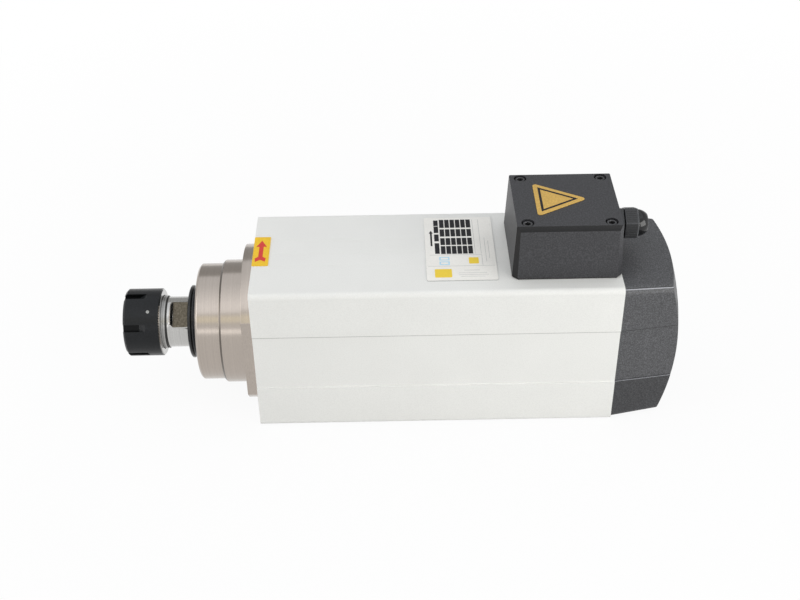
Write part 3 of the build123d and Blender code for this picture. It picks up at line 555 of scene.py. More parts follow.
def screw_tree():
    """Screws on the four corners of a rectangle: one screw, set out flat and turned to face out."""
    tree, given, end = geometry_tree(
        "Corner screws",
        {
            "Screw": ("Object", None), "Spacing A": ("Float", 0.05), "Spacing B": ("Float", 0.05),
            "Turn": ("Vector", (0, 0, 0)),
        },
    )
    corners = {"Size X": given["Spacing A"], "Size Y": given["Spacing B"], "Vertices X": 2, "Vertices Y": 2}
    grid = add(tree, "GeometryNodeMeshGrid", corners)["Mesh"]
    screw = add(tree, "GeometryNodeObjectInfo", {"Object": given["Screw"]})["Geometry"]
    return end_tree(tree, given, end, copies(tree, grid, screw), given["Turn"])


def thread_tree():
    """A thread ridge that winds along X: an even-sided ridge carried on a helix."""
    tree, given, end = geometry_tree(
        "Thread ridge",
        {
            "Turns": ("Float", 12.0), "Length": ("Float", 0.018), "Root Radius": ("Float", 0.0192),
            "Ridge Size": ("Float", 0.0008),
        },
    )
    winding = {
        "Resolution": 72, "Rotations": given["Turns"], "Height": given["Length"],
        "Start Radius": given["Root Radius"], "End Radius": given["Root Radius"],
    }
    helix = add(tree, "GeometryNodeCurveSpiral", winding)["Curve"]
    upright = add(tree, "GeometryNodeSetCurveNormal", {"Curve": helix}, mode="Z_UP")["Curve"]
    three_sided = {"Resolution": 3, "Radius": given["Ridge Size"]}
    ridge = add(tree, "GeometryNodeCurvePrimitiveCircle", three_sided)["Curve"]
    sweep = {"Curve": upright, "Profile Curve": ridge, "Fill Caps": True}
    return end_tree(tree, given, end, add(tree, "GeometryNodeCurveToMesh", sweep)["Mesh"], (0, pi / 2, 0))


def rib_tree():
    """Grip ribs on the six flats of a nut along X: one row of ribs, turned round the nut."""
    tree, given, end = geometry_tree(
        "Grip ribs",
        {
            "Ribs": ("Int", 6), "Pitch": ("Float", 0.0015), "Flat Radius": ("Float", 0.0105),
            "Rib Length": ("Float", 0.007), "Rib Width": ("Float", 0.0008),
        },
    )
    gaps = calculate(tree, "SUBTRACT", given["Ribs"], 1)
    side = calculate(tree, "MULTIPLY", calculate(tree, "MULTIPLY", gaps, given["Pitch"]), -0.5)
    first = add(tree, "ShaderNodeCombineXYZ", {"Y": side, "Z": given["Flat Radius"]})[0]
    step = add(tree, "ShaderNodeCombineXYZ", {"Y": given["Pitch"]})[0]
    line = {"Count": given["Ribs"], "Start Location": first, "Offset": step}
    places = add(tree, "GeometryNodeMeshLine", line)["Mesh"]
    radius = calculate(tree, "MULTIPLY", given["Rib Width"], 0.5)
    rib = {"Vertices": 8, "Radius": radius, "Depth": given["Rib Length"]}
    row = copies(tree, places, add(tree, "GeometryNodeMeshCylinder", rib)["Mesh"], (0, pi / 2, 0))
    flats = add(tree, "GeometryNodeMeshLine", {"Count": 6, "Offset": (0, 0, 0)})["Mesh"]
    number = add(tree, "GeometryNodeInputIndex", {})["Index"]
    angle = calculate(tree, "MULTIPLY_ADD", number, pi / 3, pi / 6)
    turn = add(tree, "ShaderNodeCombineXYZ", {"X": angle})[0]
    return end_tree(tree, given, end, copies(tree, flats, row, turn))


def cell_tree():
    """A grid of equal blank cells, for a ruled table."""
    tree, given, end = geometry_tree(
        "Table cells",
        {
            "Columns": ("Int", 6), "Rows": ("Int", 4), "Width": ("Float", 0.02), "Depth": ("Float", 0.03),
            "Cell": ("Vector", (0.003, 0.009, 0.0001)),
        },
    )
    grid = {
        "Vertices X": given["Columns"], "Vertices Y": given["Rows"], "Size X": given["Width"],
        "Size Y": given["Depth"],
    }
    cell = add(tree, "GeometryNodeMeshCube", {"Size": given["Cell"]})["Mesh"]
    return end_tree(tree, given, end, copies(tree, add(tree, "GeometryNodeMeshGrid", grid)["Mesh"], cell))


# ------------------------------------------------------------------ faces and edges told apart
def off_axis(point):
    """Distance of a point from the spindle axis."""
    return sqrt(point.y**2 + (point.z - AXIS_HEIGHT) ** 2)


def band_steps(shape, strip):
    """The heights of the side band's two steps. A strip is cut in below the upper and above the lower one."""
    widest = max(abs(vert.co.y) for vert in shape.verts)
    margin = 0.0004
    lowest, highest = 0.02, 0.1
    heights = sorted(
        face.calc_center_median().z
        for face in shape.faces
        if abs(face.normal.z) > 0.99
        and max(abs(vert.co.y) for vert in face.verts) > widest - margin
        and lowest < face.calc_center_median().z < highest
    )
    low_step, high_step = heights[0], heights[-1]
    for height in (high_step - strip, low_step + strip / 2):
        everything = shape.verts[:] + shape.edges[:] + shape.faces[:]
        bmesh.ops.bisect_plane(shape, geom=everything, plane_co=(0, 0, height), plane_no=(0, 0, 1))
    return low_step, high_step


def band_face(face, low_step, high_step, strip):
    """1 for the strip under the upper step, 2 for the lower step, 3 for the strip above that, 0 elsewhere. The
    pieces give strip 1 a painted shadow and step 2 a painted highlight, and the fan cover gives strip 3 a
    painted shadow too.
    """
    centre = face.calc_center_median()
    inside, level_with = 0.04, 0.0003
    if abs(centre.y) < inside:
        return 0
    if abs(face.normal.y) > 0.7 and 0.0 < high_step - centre.z < strip:
        return 1
    if abs(face.normal.y) > 0.7 and 0.0 < centre.z - low_step < strip / 2:
        return 3
    return 2 if face.normal.z > 0.9 and abs(centre.z - low_step) < level_with else 0


def ridge_strips(shape, side, cuts):
    """Cuts strips along the middle facet of a rounded top edge. Gives its centre and the way across it."""
    edge_foot = TOP_FACE - 0.012
    facets = [
        face for face in shape.faces
        if face.normal.y * side > 0.5 and face.normal.z > 0.5 and face.calc_center_median().z > edge_foot
    ]
    facet = max(facets, key=lambda face: face.calc_area())
    longest = max(facet.edges, key=lambda edge: edge.calc_length())
    along = (longest.verts[1].co - longest.verts[0].co).normalized()
    across = facet.normal.cross(along).normalized()
    if across.z < 0:
        across = -across
    centre = facet.calc_center_median().copy()
    near = [face for face in shape.faces if face.normal.y * side > 0.35 and face.normal.z > 0.35]
    for cut in cuts:
        near = [face for face in near if face.is_valid]
        edges = {edge for face in near for edge in face.edges}
        verts = {vert for face in near for vert in face.verts}
        found = bmesh.ops.bisect_plane(
            shape, geom=[*verts, *edges, *near], plane_co=centre + across * cut, plane_no=across
        )
        near = [item for item in found["geom"] if isinstance(item, bmesh.types.BMFace)]
    return centre, across


# ------------------------------------------------------------------ one operator for each group of pieces
class SPINDLE_OT_housing(bpy.types.Operator):
    """Dress the housing extrusion with broken edges and satin anodising"""

    bl_idname = "spindle.housing"
    bl_label = "Housing"

    def execute(self, context):
        sizes = context.scene.spindle_sizes
        shape = cleaned_copy("body_housing")
        solid_depth, margin, reach = 0.0003, 0.0001, 0.02
        for vert in shape.verts:
            if abs(TOP_FACE - vert.co.z - solid_depth) < margin and abs(vert.co.y) < reach:
                vert.co.z = TOP_FACE - sizes.scribe_depth
        steps = band_steps(shape, sizes.shadow_strip)
        # Painted light: a darker strip under the upper step is painted shadow, and a brighter finish on the
        # lower step a painted highlight.
        finished(
            "housing_extrusion", shape, ["anodised", "seam", "step", "anodised"], "housing",
            ["body_housing"], sizes.edge_round * 0.6, 32.0,
            lambda face: band_face(face, *steps, sizes.shadow_strip),
        )
        return {"FINISHED"}


class SPINDLE_OT_nose(bpy.types.Operator):
    """Dress the stepped nose flange and its bearing cover with turned steel"""

    bl_idname = "spindle.nose"
    bl_label = "Nose flange"

    def execute(self, context):
        edge = context.scene.spindle_sizes.edge_round
        front_to_chamfer, half_chamfer, step_radius = 0.0174, 0.0025, 0.042
        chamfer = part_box("front_flange")[0][0] + front_to_chamfer

        # The chamfer on the nose's step takes finish 1, a darker steel that is painted shade.
        def chamfered(face):
            centre = face.calc_center_median()
            slanted = 0.2 < abs(face.normal.x) < 0.96
            near = abs(centre.x - chamfer) < half_chamfer
            return int(slanted and near and off_axis(centre) > step_radius)

        finished(
            "nose_flange", cleaned_copy("front_flange"), ["nose", "nose edge"], "housing",
            ["front_flange"], edge * 0.8, pick=chamfered,
        )
        finished(
            "nose_bearing_cover", cleaned_copy("front_bearing_cover"), ["nose"], "housing",
            ["front_bearing_cover"], edge,
        )
        return {"FINISHED"}


class SPINDLE_OT_shaft(bpy.types.Operator):
    """Dress the shaft, wind its nut thread and turn the slinger ring with its two lips"""

    bl_idname = "spindle.shaft"
    bl_label = "Shaft and slinger"

    def shaft(self, sizes, front, slinger_front):
        """The shaft, with its threaded length turned down to the thread's roots."""
        thread_end = front + 0.021
        root = sizes.thread_radius - sizes.thread_rise
        flat_reach, margin, groove = 0.016, 0.0002, 0.0006
        shape = cleaned_copy("spindle_shaft")
        for vert in shape.verts:
            reach = off_axis(vert.co)
            if reach > sizes.thread_radius - 2 * HAIR and vert.co.x < thread_end + HAIR:
                vert.co.y *= root / reach
                vert.co.z = AXIS_HEIGHT + (vert.co.z - AXIS_HEIGHT) * root / reach

        def machined(face):
            centre = face.calc_center_median()
            out = Vector((0, centre.y, centre.z - AXIS_HEIGHT))
            flat = abs(face.normal.x) < 0.01 and abs(out.dot(face.normal) - flat_reach) < margin
            if flat and thread_end < centre.x < slinger_front + MM:
                return 1
            # The thread's roots take finish 2, a near-black steel that is painted shade in the grooves.
            threaded = centre.x < thread_end and abs(face.normal.x) < 0.1
            return 2 if threaded and off_axis(centre) > root - groove else 0

        finishes = ["ground", "milled", "thread"]
        finished("shaft", shape, finishes, "spindle", ["spindle_shaft"], pick=machined)

    def thread(self, sizes, front):
        """The thread's ridge, which starts a little behind the shaft's front."""
        start, length = front + 0.0018, 0.0182
        ridge = sizes.thread_rise / 1.15
        values = {
            "Turns": length / sizes.thread_pitch,
            "Length": length,
            "Root Radius": sizes.thread_radius - ridge,
            "Ridge Size": ridge,
            "Place": (start, 0, AXIS_HEIGHT),
            "Material": coloured("crest"),
        }
        grown("shaft_thread", thread_tree(), values, "spindle", angle=20.0)

    def slinger(self, sizes, low, high):
        """The ring with a bead on each lip and a groove between them."""
        front, rear = low[0], high[0]
        outer = (high[1] - low[1]) / 2
        bore = sizes.thread_radius - 0.00125
        floor = outer - sizes.slinger_groove - 0.0006
        lip, bead = sizes.slinger_lip, 0.0008
        profile = [
            (front, bore), (front, outer - 0.0016), (front + bead, outer - 0.0005),
            (front + lip - bead, outer - 0.0005), (front + lip, outer - 0.0014), (front + lip, floor),
            (rear - lip - 0.0002, floor), (rear - lip, outer - 0.0009), (rear - lip + bead, outer),
            (rear - bead, outer), (rear, outer - 0.0009), (rear, bore),
        ]
        shape = lathe(profile, 128, loop=True)
        finished("slinger", shape, ["slinger"], "spindle", ["slinger_ring"], 0.0002, 24.0)

    def execute(self, context):
        sizes = context.scene.spindle_sizes
        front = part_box("spindle_shaft")[0][0]
        low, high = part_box("slinger_ring")
        self.shaft(sizes, front, low[0])
        self.thread(sizes, front)
        self.slinger(sizes, low, high)
        return {"FINISHED"}


class SPINDLE_OT_collet(bpy.types.Operator):
    """Dress the collet, its nut with a bare steel rear face, the plug and the extraction ring"""

    bl_idname = "spindle.collet"
    bl_label = "Collet and nut"

    def execute(self, context):
        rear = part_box("collet_nut")[1][0]
        chamfer, rim, slot_floor, slot_mouth = 0.0011, 0.0244, 0.0205, 0.0246

        def bare(face):
            centre = face.calc_center_median()
            if centre.x > rear - chamfer:
                return 1 if off_axis(centre) < rim else 0
            # The slots' faces take finish 2, a darker black oxide that is painted shade.
            return 2 if slot_floor < off_axis(centre) < slot_mouth and abs(face.normal.x) < 0.3 else 0

        finished(
            "clamping_nut", cleaned_copy("collet_nut"), ["oxide", "ground", "slot"], "nut",
            ["collet_nut"], context.scene.spindle_sizes.edge_round, pick=bare,
        )
        collet, plug = cleaned_copy("er_collet"), cleaned_copy("nut_plug")
        finished("spring_collet", collet, ["ground"], "collet", ["er_collet"])
        finished("nut_pin", plug, ["pin"], "nut", ["nut_plug"], 0.0002)
        refinish("ground", "extraction_ring")
        return {"FINISHED"}


class SPINDLE_OT_cover(bpy.types.Operator):
    """Dress the fan cover with speckled powder coat, and the shield, fan and nut behind it"""

    bl_idname = "spindle.cover"
    bl_label = "Fan cover"

    def execute(self, context):
        sizes = context.scene.spindle_sizes
        shape = cleaned_copy("fan_cover")
        steps = band_steps(shape, sizes.shadow_strip)
        # Painted light on the fan cover: a lighter line along each top edge is a painted highlight, with a
        # strip of painted shadow beside it.
        half = sizes.ridge_line / 2
        shadow = half * 2.4
        edge_depth = 0.014
        ridges = {side: ridge_strips(shape, side, (-half, half, shadow)) for side in (-1, 1)}

        def surface(face):
            centre, normal = face.calc_center_median(), face.normal
            if abs(normal.y) > 0.4 and normal.z > 0.4 and centre.z > TOP_FACE - edge_depth:
                ridge, across = ridges[-1 if normal.y < 0 else 1]
                reach = (centre - ridge).dot(across)
                if -half < reach < half:
                    return 2
                return 1 if half < reach < shadow else 0
            # Strips at the band's steps are painted shadow, the lower step a painted highlight, and finish 4 a
            # painted shade on the band below the lower step.
            number = band_face(face, *steps, sizes.shadow_strip)
            below = abs(normal.y) > 0.7 and centre.z < steps[0]
            return 4 if number == 0 and below else number

        finished(
            "fan_cover_shell", shape, ["coat", "coat seam", "coat edge", "coat seam", "coat shade"],
            "housing", ["fan_cover"], sizes.edge_round * 0.5, pick=surface,
        )
        finished(
            "fan_wheel", cleaned_copy("cooling_fan"), ["fan"], "spindle", ["cooling_fan"],
            sizes.edge_round,
        )
        refinish("cast", "rear_shield", "rotor_end_rings")
        refinish("zinc", "fan_nut")
        return {"FINISHED"}


class SPINDLE_OT_box(bpy.types.Operator):
    """Dress the terminal box, its gasket and the block inside"""

    bl_idname = "spindle.box"
    bl_label = "Terminal box"

    def execute(self, context):
        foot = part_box("terminal_box_cover")[0][2] + 0.002
        smallest = 0.00002

        # The box's slanted corner strips and the lid's slanted edges take finish 1, a darker moulding that is
        # painted shade.
        def cut(face):
            normal = face.normal
            corner = normal.x < -0.3 and abs(normal.y) > 0.3 and abs(normal.z) < 0.6
            lid_edge = abs(normal.y) > 0.5 and 0.3 < normal.z < 0.95
            large = face.calc_area() > smallest
            return int((corner or lid_edge) and large and face.calc_center_median().z > foot)

        finished(
            "terminal_box", cleaned_copy("terminal_box_cover"), ["moulding", "moulding edge"], "housing",
            ["terminal_box_cover"], context.scene.spindle_sizes.edge_round, pick=cut,
        )
        refinish("rubber", "box_gasket")
        refinish("cream", "terminal_block")
        refinish("brass", "terminal_studs")
        return {"FINISHED"}


class SPINDLE_OT_gland(bpy.types.Operator):
    """Dress the cable gland: its collar with a gap behind the nut, the ribbed nut and the glossy dome"""

    bl_idname = "spindle.gland"
    bl_label = "Cable gland"

    def collar(self, start, gap, flats, height):
        """The collar at the box's wall, six-sided up to a gap behind the nut."""
        low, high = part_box("gland_body")
        wall = start - 0.0049
        bore, pipe, neck, end = 0.005, 0.008, 0.0086, 0.0079

        def six_sided(angle):
            return hexagon(flats, angle) * 0.985

        profile = [
            (low[0], bore), (low[0], pipe), (wall, pipe), (wall, six_sided), (start - gap, six_sided),
            (start - gap, neck), (start - 0.0001, neck), (start - 0.0001, end), (high[0], end),
            (high[0], bore),
        ]
        shape = lathe(profile, 72, (0.0, height), loop=True)
        finished("gland_collar", shape, ["gland"], "housing", ["gland_body"], 0.0002)

    def execute(self, context):
        sizes = context.scene.spindle_sizes
        low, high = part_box("gland_nut")
        height = (low[2] + high[2]) / 2
        flats = (high[1] - low[1]) / 2
        start, shoulder = low[0], high[0] - 0.0072
        self.collar(start, sizes.gland_gap, flats, height)

        def domed(face):
            return int(face.calc_center_median().x > shoulder + 5 * HAIR)

        # The rounded ridges of the nut take finish 2, a lighter nylon that is a painted highlight.
        finished(
            "gland_cap", cleaned_copy("gland_nut"), ["gland", "dome", "gland edge"], "housing",
            ["gland_nut"], 0.0005, pick=domed, rubbed=2,
        )
        values = {
            "Ribs": sizes.gland_ribs,
            "Pitch": flats * 0.14,
            "Flat Radius": flats - sizes.gland_rib_width * 0.2,
            "Rib Length": shoulder - start - 0.0022,
            "Rib Width": sizes.gland_rib_width,
            "Place": ((start + shoulder) / 2 - 0.0002, 0, height),
            "Material": coloured("gland"),
        }
        grown("gland_ribs", rib_tree(), values, "housing")
        refinish("gland", "gland_locknut")
        return {"FINISHED"}


class SPINDLE_OT_screws(bpy.types.Operator):
    """Set socket-head screws in the terminal box, the fan cover and the front flange"""

    bl_idname = "spindle.screws"
    bl_label = "Screws"

    def screw(self, name, head, head_height, shank, length, share):
        """One socket-head screw along Z, its head's seat at the origin."""
        deep = head_height * 0.45

        def socket(angle):
            return hexagon(head * share, angle)

        profile = [
            (-length, shank * 0.8), (-length + shank * 0.3, shank), (0, shank), (0, head),
            (head_height * 0.92, head), (head_height, head * 0.94),
            (head_height, lambda angle: socket(angle) * 1.05), (head_height * 0.96, socket), (deep, socket),
            (deep * 0.85, head * 0.1),
        ]
        shape = lathe(profile, 24, (0.0, 0.0))
        for vert in shape.verts:
            along, across, up = vert.co
            vert.co = (across, up, along)
        mesh = bpy.data.meshes.new(name)
        shape.to_mesh(mesh)
        shape.free()
        return bpy.data.objects.new(name, mesh)

    def execute(self, context):
        share = context.scene.spindle_sizes.socket_share
        tree = screw_tree()
        upright, rearward, forward = (0, 0, 0), (0, pi / 2, 0), (0, -pi / 2, 0)
        # Radius and height of the head, and radius of the shank
        small, large = (0.0035, 0.004, 0.002), (0.00425, 0.0035, 0.0025)
        sets = (
            ("box_socket_screws", "box_screws", 2, 1, small, upright, "screw", "screw_black"),
            ("cover_socket_screws", "cover_screws", 0, 1, large, rearward, "screw", "screw_black"),
            ("flange_socket_screws", "flange_screws", 0, -1, large, forward, "zinc", "screw_steel"),
        )
        for name, node, along, way, (head, head_height, shank), turn, finish, slot in sets:
            low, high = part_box(node)
            length = high[along] - low[along] - head_height
            middle = [(a + b) / 2 for a, b in zip(low, high)]
            middle[along] = high[along] - head_height if way > 0 else low[along] + head_height
            spacing = [high[i] - low[i] - 2 * head for i in ((2, 1) if along == 0 else (0, 1))]
            one = self.screw(name + "_one", head, head_height, shank, length, share)
            values = {
                "Screw": one,
                "Spacing A": spacing[0],
                "Spacing B": spacing[1],
                "Place": tuple(middle),
                "Turn": turn,
                "Material": coloured(finish),
            }
            grown(name, tree, values, "housing", [node], 30.0)
            bpy.data.objects.remove(one)
        return {"FINISHED"}


class SPINDLE_OT_plates(bpy.types.Operator):
    """Print the blank rating plate, the turning arrow and the three-sided lid plate"""

    bl_idname = "spindle.plates"
    bl_label = "Plates and print"

    def table(self, at, low, high):
        """Four rows of six blank cells, from the lowest corner of the print's place to its top."""
        cells = cell_tree()
        columns, pitch = 6, 3.93
        rows = ((65.7, 10.3), (54.4, 9.0), (43.5, 8.5), (32.3, 9.5))  # foot and depth
        for number, (foot, depth) in enumerate(rows):
            values = {
                "Columns": columns,
                "Rows": 1,
                "Width": (columns - 1) * pitch * MM,
                "Depth": 0.0,
                "Cell": (3.3 * MM, (depth + 0.3) * MM, high - low),
                "Place": (*at(22.7, foot + depth / 2), (low + high) / 2),
                "Material": coloured("black ink"),
            }
            grown(f"table_row_{number + 1}", cells, values, "housing")

    def rating_plate(self, ink):
        """The blank plate with its print, placed in millimetres from the plate's lowest corner."""
        # The plate's side faces take a grey finish, painted shade that draws a dark line round the plate.
        finished(
            "rating_plate", plate("nameplate", 0.0012), ["white plate", "plate edge"], "housing",
            ["nameplate"], pick=lambda face: int(abs(face.normal.z) < 0.5),
        )
        corner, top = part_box("nameplate")
        low, high = top[2] - HAIR, top[2] + ink

        def at(x, y):
            return (corner[0] + x * MM, corner[1] + y * MM)

        def patch(x, y, length, depth, radius=0.0):
            return slab(oblong(*at(x, y), length * MM, depth * MM, radius), low, high)

        self.table(at, low, high)
        heads = ((68.2, 7.3), (59.0, 8.5), (48.2, 8.8), (32.5, 13.3))  # foot and depth
        black = [patch(8.6, foot + depth / 2, 3.3, depth) for foot, depth in heads]
        x, foot, neck, tip = 4.7, 42.2, 58.4, 62.0
        stem = ((x - 0.65, foot), (x + 0.65, foot), (x + 0.65, neck), (x - 0.65, neck))
        for outline in (stem, ((x - 1.5, neck), (x + 1.5, neck), (x, tip))):
            black.append(slab([at(*point) for point in outline], low, high))
        finished("table_heads", joined(black), ["black ink"], "housing")

        rules = (  # lowest corner, length and depth
            (3.0, 30.8, 37.0, 0.25), (1.4, 17.1, 47.0, 0.25), (35.5, 32.0, 0.25, 44.0),
            (39.8, 32.0, 0.25, 44.0), (40.0, 17.1, 0.25, 13.7), (26.5, 11.8, 11.0, 0.3),
            (22.5, 8.6, 20.0, 0.25), (22.5, 6.5, 21.0, 0.25), (24.0, 4.4, 17.0, 0.25),
            (43.0, 22.0, 0.25, 30.0), (45.4, 26.0, 0.25, 22.0),
        )
        lines = [
            slab([at(x, y), at(x + length, y), at(x + length, y + depth), at(x, y + depth)], low, high)
            for x, y, length, depth in rules
        ]
        finished("plate_rules", joined(lines), ["grey ink"], "housing")

        frames = []
        for y in (20.7, 26.3):
            outer, inner = (oblong(*at(13.2, y), a * MM, b * MM) for a, b in ((7.2, 4.2), (5.2, 2.4)))
            frames += border(outer, inner, low, high)
        finished("plate_blue_frames", joined(frames), ["blue ink"], "housing")
        patches = [patch(34.0, 23.6, 7.0, 7.6, 0.0008), patch(11.8, 8.6, 12.0, 10.0, 0.0008)]
        finished("plate_yellow_patches", joined(patches), ["yellow ink"], "housing")

    def arrow(self, ink):
        """The yellow plate with its red arrow, mirrored from half an outline in millimetres."""
        label = plate("arrow_plate", 0.0006)
        finished("arrow_label", label, ["yellow plate"], "housing", ["arrow_plate"])
        low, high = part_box("arrow_plate")
        x, y = (low[0] + high[0]) / 2 - 0.0002, (low[1] + high[1]) / 2
        half = [(0, 13.2), (3.9, 5.2), (1.55, 5.6), (1.55, -7.0), (3.9, -9.0), (3.5, -13.2), (0, -10.9)]
        whole = half + [(-a, b) for a, b in half[-2:0:-1]]
        outline = [(x + a * MM, y + b * MM) for a, b in whole]
        shape = slab(outline, high[2] - HAIR, high[2] + ink)
        finished("turning_arrow", shape, ["red ink"], "housing")

    def lid_plate(self, ink):
        """The three-sided plate on the lid, sunk by the height of the line that is printed round it."""
        low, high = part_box("lid_badge")
        shape = cleaned_copy("lid_badge")
        for vert in shape.verts:
            if vert.co.z > high[2] - HAIR:
                vert.co.z -= ink
        finished("lid_plate", shape, ["gold"], "housing", ["lid_badge"], 0.0001)
        length = high[0] - low[0]
        x, y = low[0] + length * 0.352, (low[1] + high[1]) / 2
        reach = length * 0.705
        angles = [2 * pi * number / 3 for number in range(3)]
        wide, slim = (
            [(x + reach * share * cos(angle), y + reach * share * sin(angle)) for angle in angles]
            for share in (0.74, 0.6)
        )
        line = joined(border(wide, slim, high[2] - ink - HAIR, high[2]))
        finished("lid_plate_line", line, ["black ink"], "housing")

    def execute(self, context):
        ink = context.scene.spindle_sizes.ink_height
        self.rating_plate(ink)
        self.arrow(ink)
        self.lid_plate(ink)
        return {"FINISHED"}


class SPINDLE_OT_inside(bpy.types.Operator):
    """Give the closed-in pieces their finishes"""

    bl_idname = "spindle.inside"
    bl_label = "Inner pieces"

    def execute(self, context):
        refinish("bearing", "bearing_outer_rings", "bearing_inner_rings")
        refinish("zinc", "bearing_locknut")
        refinish("laminations", "rotor_core", "stator_core")
        refinish("copper", "stator_windings")
        return {"FINISHED"}


# ------------------------------------------------------------------ stage
WHITE = (1, 1, 1, 1)
AIM = Vector((0, 0, 0.06))
LAMPS = (  # name, place, size, power and colour
    ("near_softbox", (0.8, -0.6, 0.36), (0.8, 0.6), 6.1, (1, 0.995, 0.97)),
    ("near_strip", (-0.42, -1.35, 0.5), (0.9, 0.2), 0.48, (1, 1, 1)),
    ("warm_strip", (-0.35, -0.92, 0.85), (0.9, 0.24), 0.24, (1, 0.86, 0.3)),
    ("top_softbox", (-0.1, 0.2, 1.6), (3.2, 2.5), 14.4, (0.9, 0.94, 1)),
    ("left_softbox", (-1.3, -0.25, 0.6), (0.9, 1.2), 7.0, (1, 1, 1)),
)
CAMERA_PLACE = Vector((-0.032245, -0.743549, 0.639030))
CAMERA_WAY = Vector((0.00784936, 0.79737682, -0.60343069))
CAMERA_YAW = radians(0.564)
CAMERA_ROLL = radians(-0.686)
FOCAL_SHARE = 1261.3644 / 800  # focal length to the picture's width
SENSOR_WIDTH = 36.0


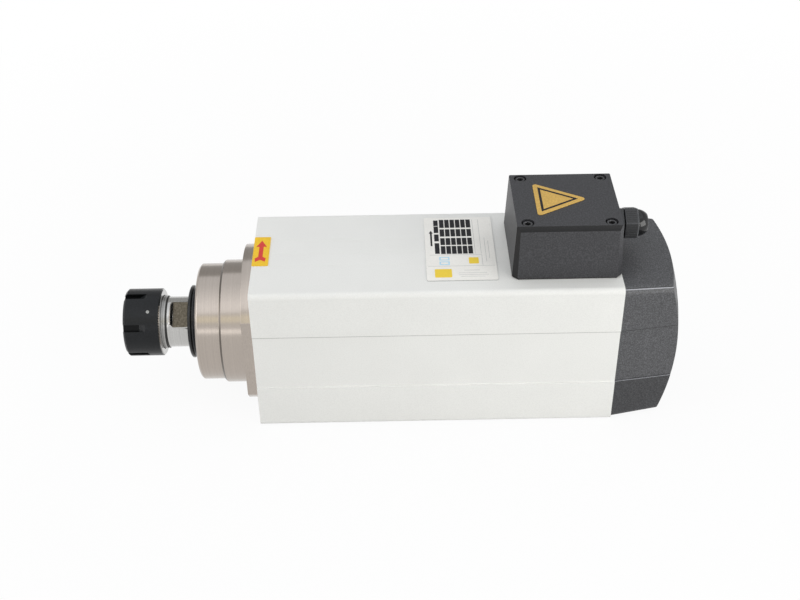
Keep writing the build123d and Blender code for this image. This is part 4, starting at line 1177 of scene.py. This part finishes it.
class SPINDLE_OT_stage(bpy.types.Operator):
    """Set the floor, the studio light and the camera"""

    bl_idname = "spindle.stage"
    bl_label = "Stage"

    def blend(self, tree, rays, share, plain, bright, output):
        """A plain shader and, by a share, a bright one for the camera, reflections and glass."""
        either = calculate(tree, "MAXIMUM", rays["Is Camera Ray"], rays["Is Glossy Ray"])
        seen = calculate(tree, "MAXIMUM", either, rays["Is Transmission Ray"])
        factor = seen if share is None else calculate(tree, "MULTIPLY", seen, share)
        mixed = add(tree, "ShaderNodeMixShader", {0: factor, 1: plain, 2: bright})[0]
        feed(tree, tree.nodes[output].inputs["Surface"], mixed)

    def floor(self):
        """A wide pale floor that keeps a soft shadow near the part and is plain white further out."""
        shape = bmesh.new()
        bmesh.ops.create_grid(shape, x_segments=1, y_segments=1, size=6.0)
        mesh = bpy.data.meshes.new("floor")
        shape.to_mesh(mesh)
        shape.free()
        material = bpy.data.materials.new("Pale floor")
        material.use_nodes = True
        tree = material.node_tree
        shader = tree.nodes["Principled BSDF"]
        looks = {"Base Color": (0.74, 0.74, 0.74, 1), "Roughness": 1.0, "Specular IOR Level": 0.0}
        for label, value in looks.items():
            shader.inputs[label].default_value = value
        glow = add(tree, "ShaderNodeEmission", {"Color": WHITE})[0]
        place = add(tree, "ShaderNodeTexCoord", {})["Object"]
        far = add(tree, "ShaderNodeVectorMath", {0: place}, operation="LENGTH")["Value"]
        share = spread(tree, far, 0.3, 0.75, 0.93, 1.0)
        rays = add(tree, "ShaderNodeLightPath", {})
        self.blend(tree, rays, share, shader.outputs[0], glow, "Material Output")
        mesh.materials.append(material)
        new_object("floor", mesh)

    def sky(self, strength):
        """An even pale surround, white to the camera and dimmer to reflections from behind and above."""
        world = bpy.data.worlds.new("Studio")
        bpy.context.scene.world = world
        world.use_nodes = True
        tree = world.node_tree
        around = tree.nodes["Background"]
        around.inputs["Color"].default_value = WHITE
        around.inputs["Strength"].default_value = strength
        way = add(tree, "ShaderNodeTexCoord", {})["Generated"]
        up_and_back = {0: way, 1: (0, 0.8, 0.6)}
        behind = add(tree, "ShaderNodeVectorMath", up_and_back, operation="DOT_PRODUCT")["Value"]
        dimmed = spread(tree, behind, 0.25, 0.85, 1.0, 0.5)
        rays = add(tree, "ShaderNodeLightPath", {})
        direct = calculate(tree, "MAXIMUM", rays["Is Camera Ray"], rays["Is Transmission Ray"])
        strength_seen = calculate(tree, "MAXIMUM", direct, dimmed)
        white = add(tree, "ShaderNodeBackground", {"Color": WHITE, "Strength": strength_seen})[0]
        self.blend(tree, rays, None, around.outputs[0], white, "World Output")

    def lamp(self, name, place, size, power, colour):
        """A rectangular soft lamp aimed at the part."""
        light = bpy.data.lights.new(name, "AREA")
        light.shape = "RECTANGLE"
        light.size, light.size_y = size
        light.energy = power
        light.color = colour
        lamp = new_object(name, light)
        lamp.location = place
        lamp.rotation_euler = (AIM - Vector(place)).to_track_quat("-Z", "Y").to_euler()

    def camera(self):
        """The view from the near side, a little to the rear and from above."""
        forward = CAMERA_WAY.normalized()
        right = Vector((cos(CAMERA_YAW), -sin(CAMERA_YAW), 0))
        up = right.cross(forward)
        turned_right = right * cos(CAMERA_ROLL) + up * sin(CAMERA_ROLL)
        turned_up = up * cos(CAMERA_ROLL) - right * sin(CAMERA_ROLL)
        data = bpy.data.cameras.new("camera")
        data.sensor_fit = "HORIZONTAL"
        data.sensor_width = SENSOR_WIDTH
        data.lens = FOCAL_SHARE * SENSOR_WIDTH
        data.clip_end = 50.0
        matrix = Matrix((turned_right, turned_up, -forward)).transposed().to_4x4()
        matrix.translation = CAMERA_PLACE
        camera = new_object("camera", data)
        camera.matrix_world = matrix
        bpy.context.scene.camera = camera

    def execute(self, context):
        self.floor()
        self.sky(0.55)
        for lamp in LAMPS:
            self.lamp(*lamp)
        self.camera()
        context.scene.view_settings.view_transform = "Standard"
        return {"FINISHED"}


class SPINDLE_PT_panel(bpy.types.Panel):
    """Sizes, colours and steps of the dressing"""

    bl_label = "Motor spindle"
    bl_idname = "SPINDLE_PT_panel"
    bl_space_type = "VIEW_3D"
    bl_region_type = "UI"
    bl_category = "Spindle"

    def draw(self, context):
        for settings in (context.scene.spindle_sizes, context.scene.spindle_colours):
            box = self.layout.box()
            for label in settings.bl_rna.properties.keys():
                if label not in ("rna_type", "name"):
                    box.prop(settings, label)
        for step in STEPS:
            self.layout.operator(step.bl_idname)


STEPS = (
    SPINDLE_OT_stage,
    SPINDLE_OT_housing,
    SPINDLE_OT_nose,
    SPINDLE_OT_shaft,
    SPINDLE_OT_collet,
    SPINDLE_OT_cover,
    SPINDLE_OT_box,
    SPINDLE_OT_gland,
    SPINDLE_OT_screws,
    SPINDLE_OT_plates,
    SPINDLE_OT_inside,
)
CLASSES = (SpindleSizes, SpindleColours, *STEPS, SPINDLE_PT_panel)


def register():
    for cls in CLASSES:
        bpy.utils.register_class(cls)
    bpy.types.Scene.spindle_sizes = bpy.props.PointerProperty(type=SpindleSizes)
    bpy.types.Scene.spindle_colours = bpy.props.PointerProperty(type=SpindleColours)


def unregister():
    del bpy.types.Scene.spindle_colours
    del bpy.types.Scene.spindle_sizes
    for cls in reversed(CLASSES):
        bpy.utils.unregister_class(cls)


def main():
    """Runs every step in order."""
    register()
    for step in STEPS:
        family, action = step.bl_idname.split(".")
        getattr(getattr(bpy.ops, family), action)()
    bpy.context.view_layer.update()


if __name__ == "__main__":
    main()
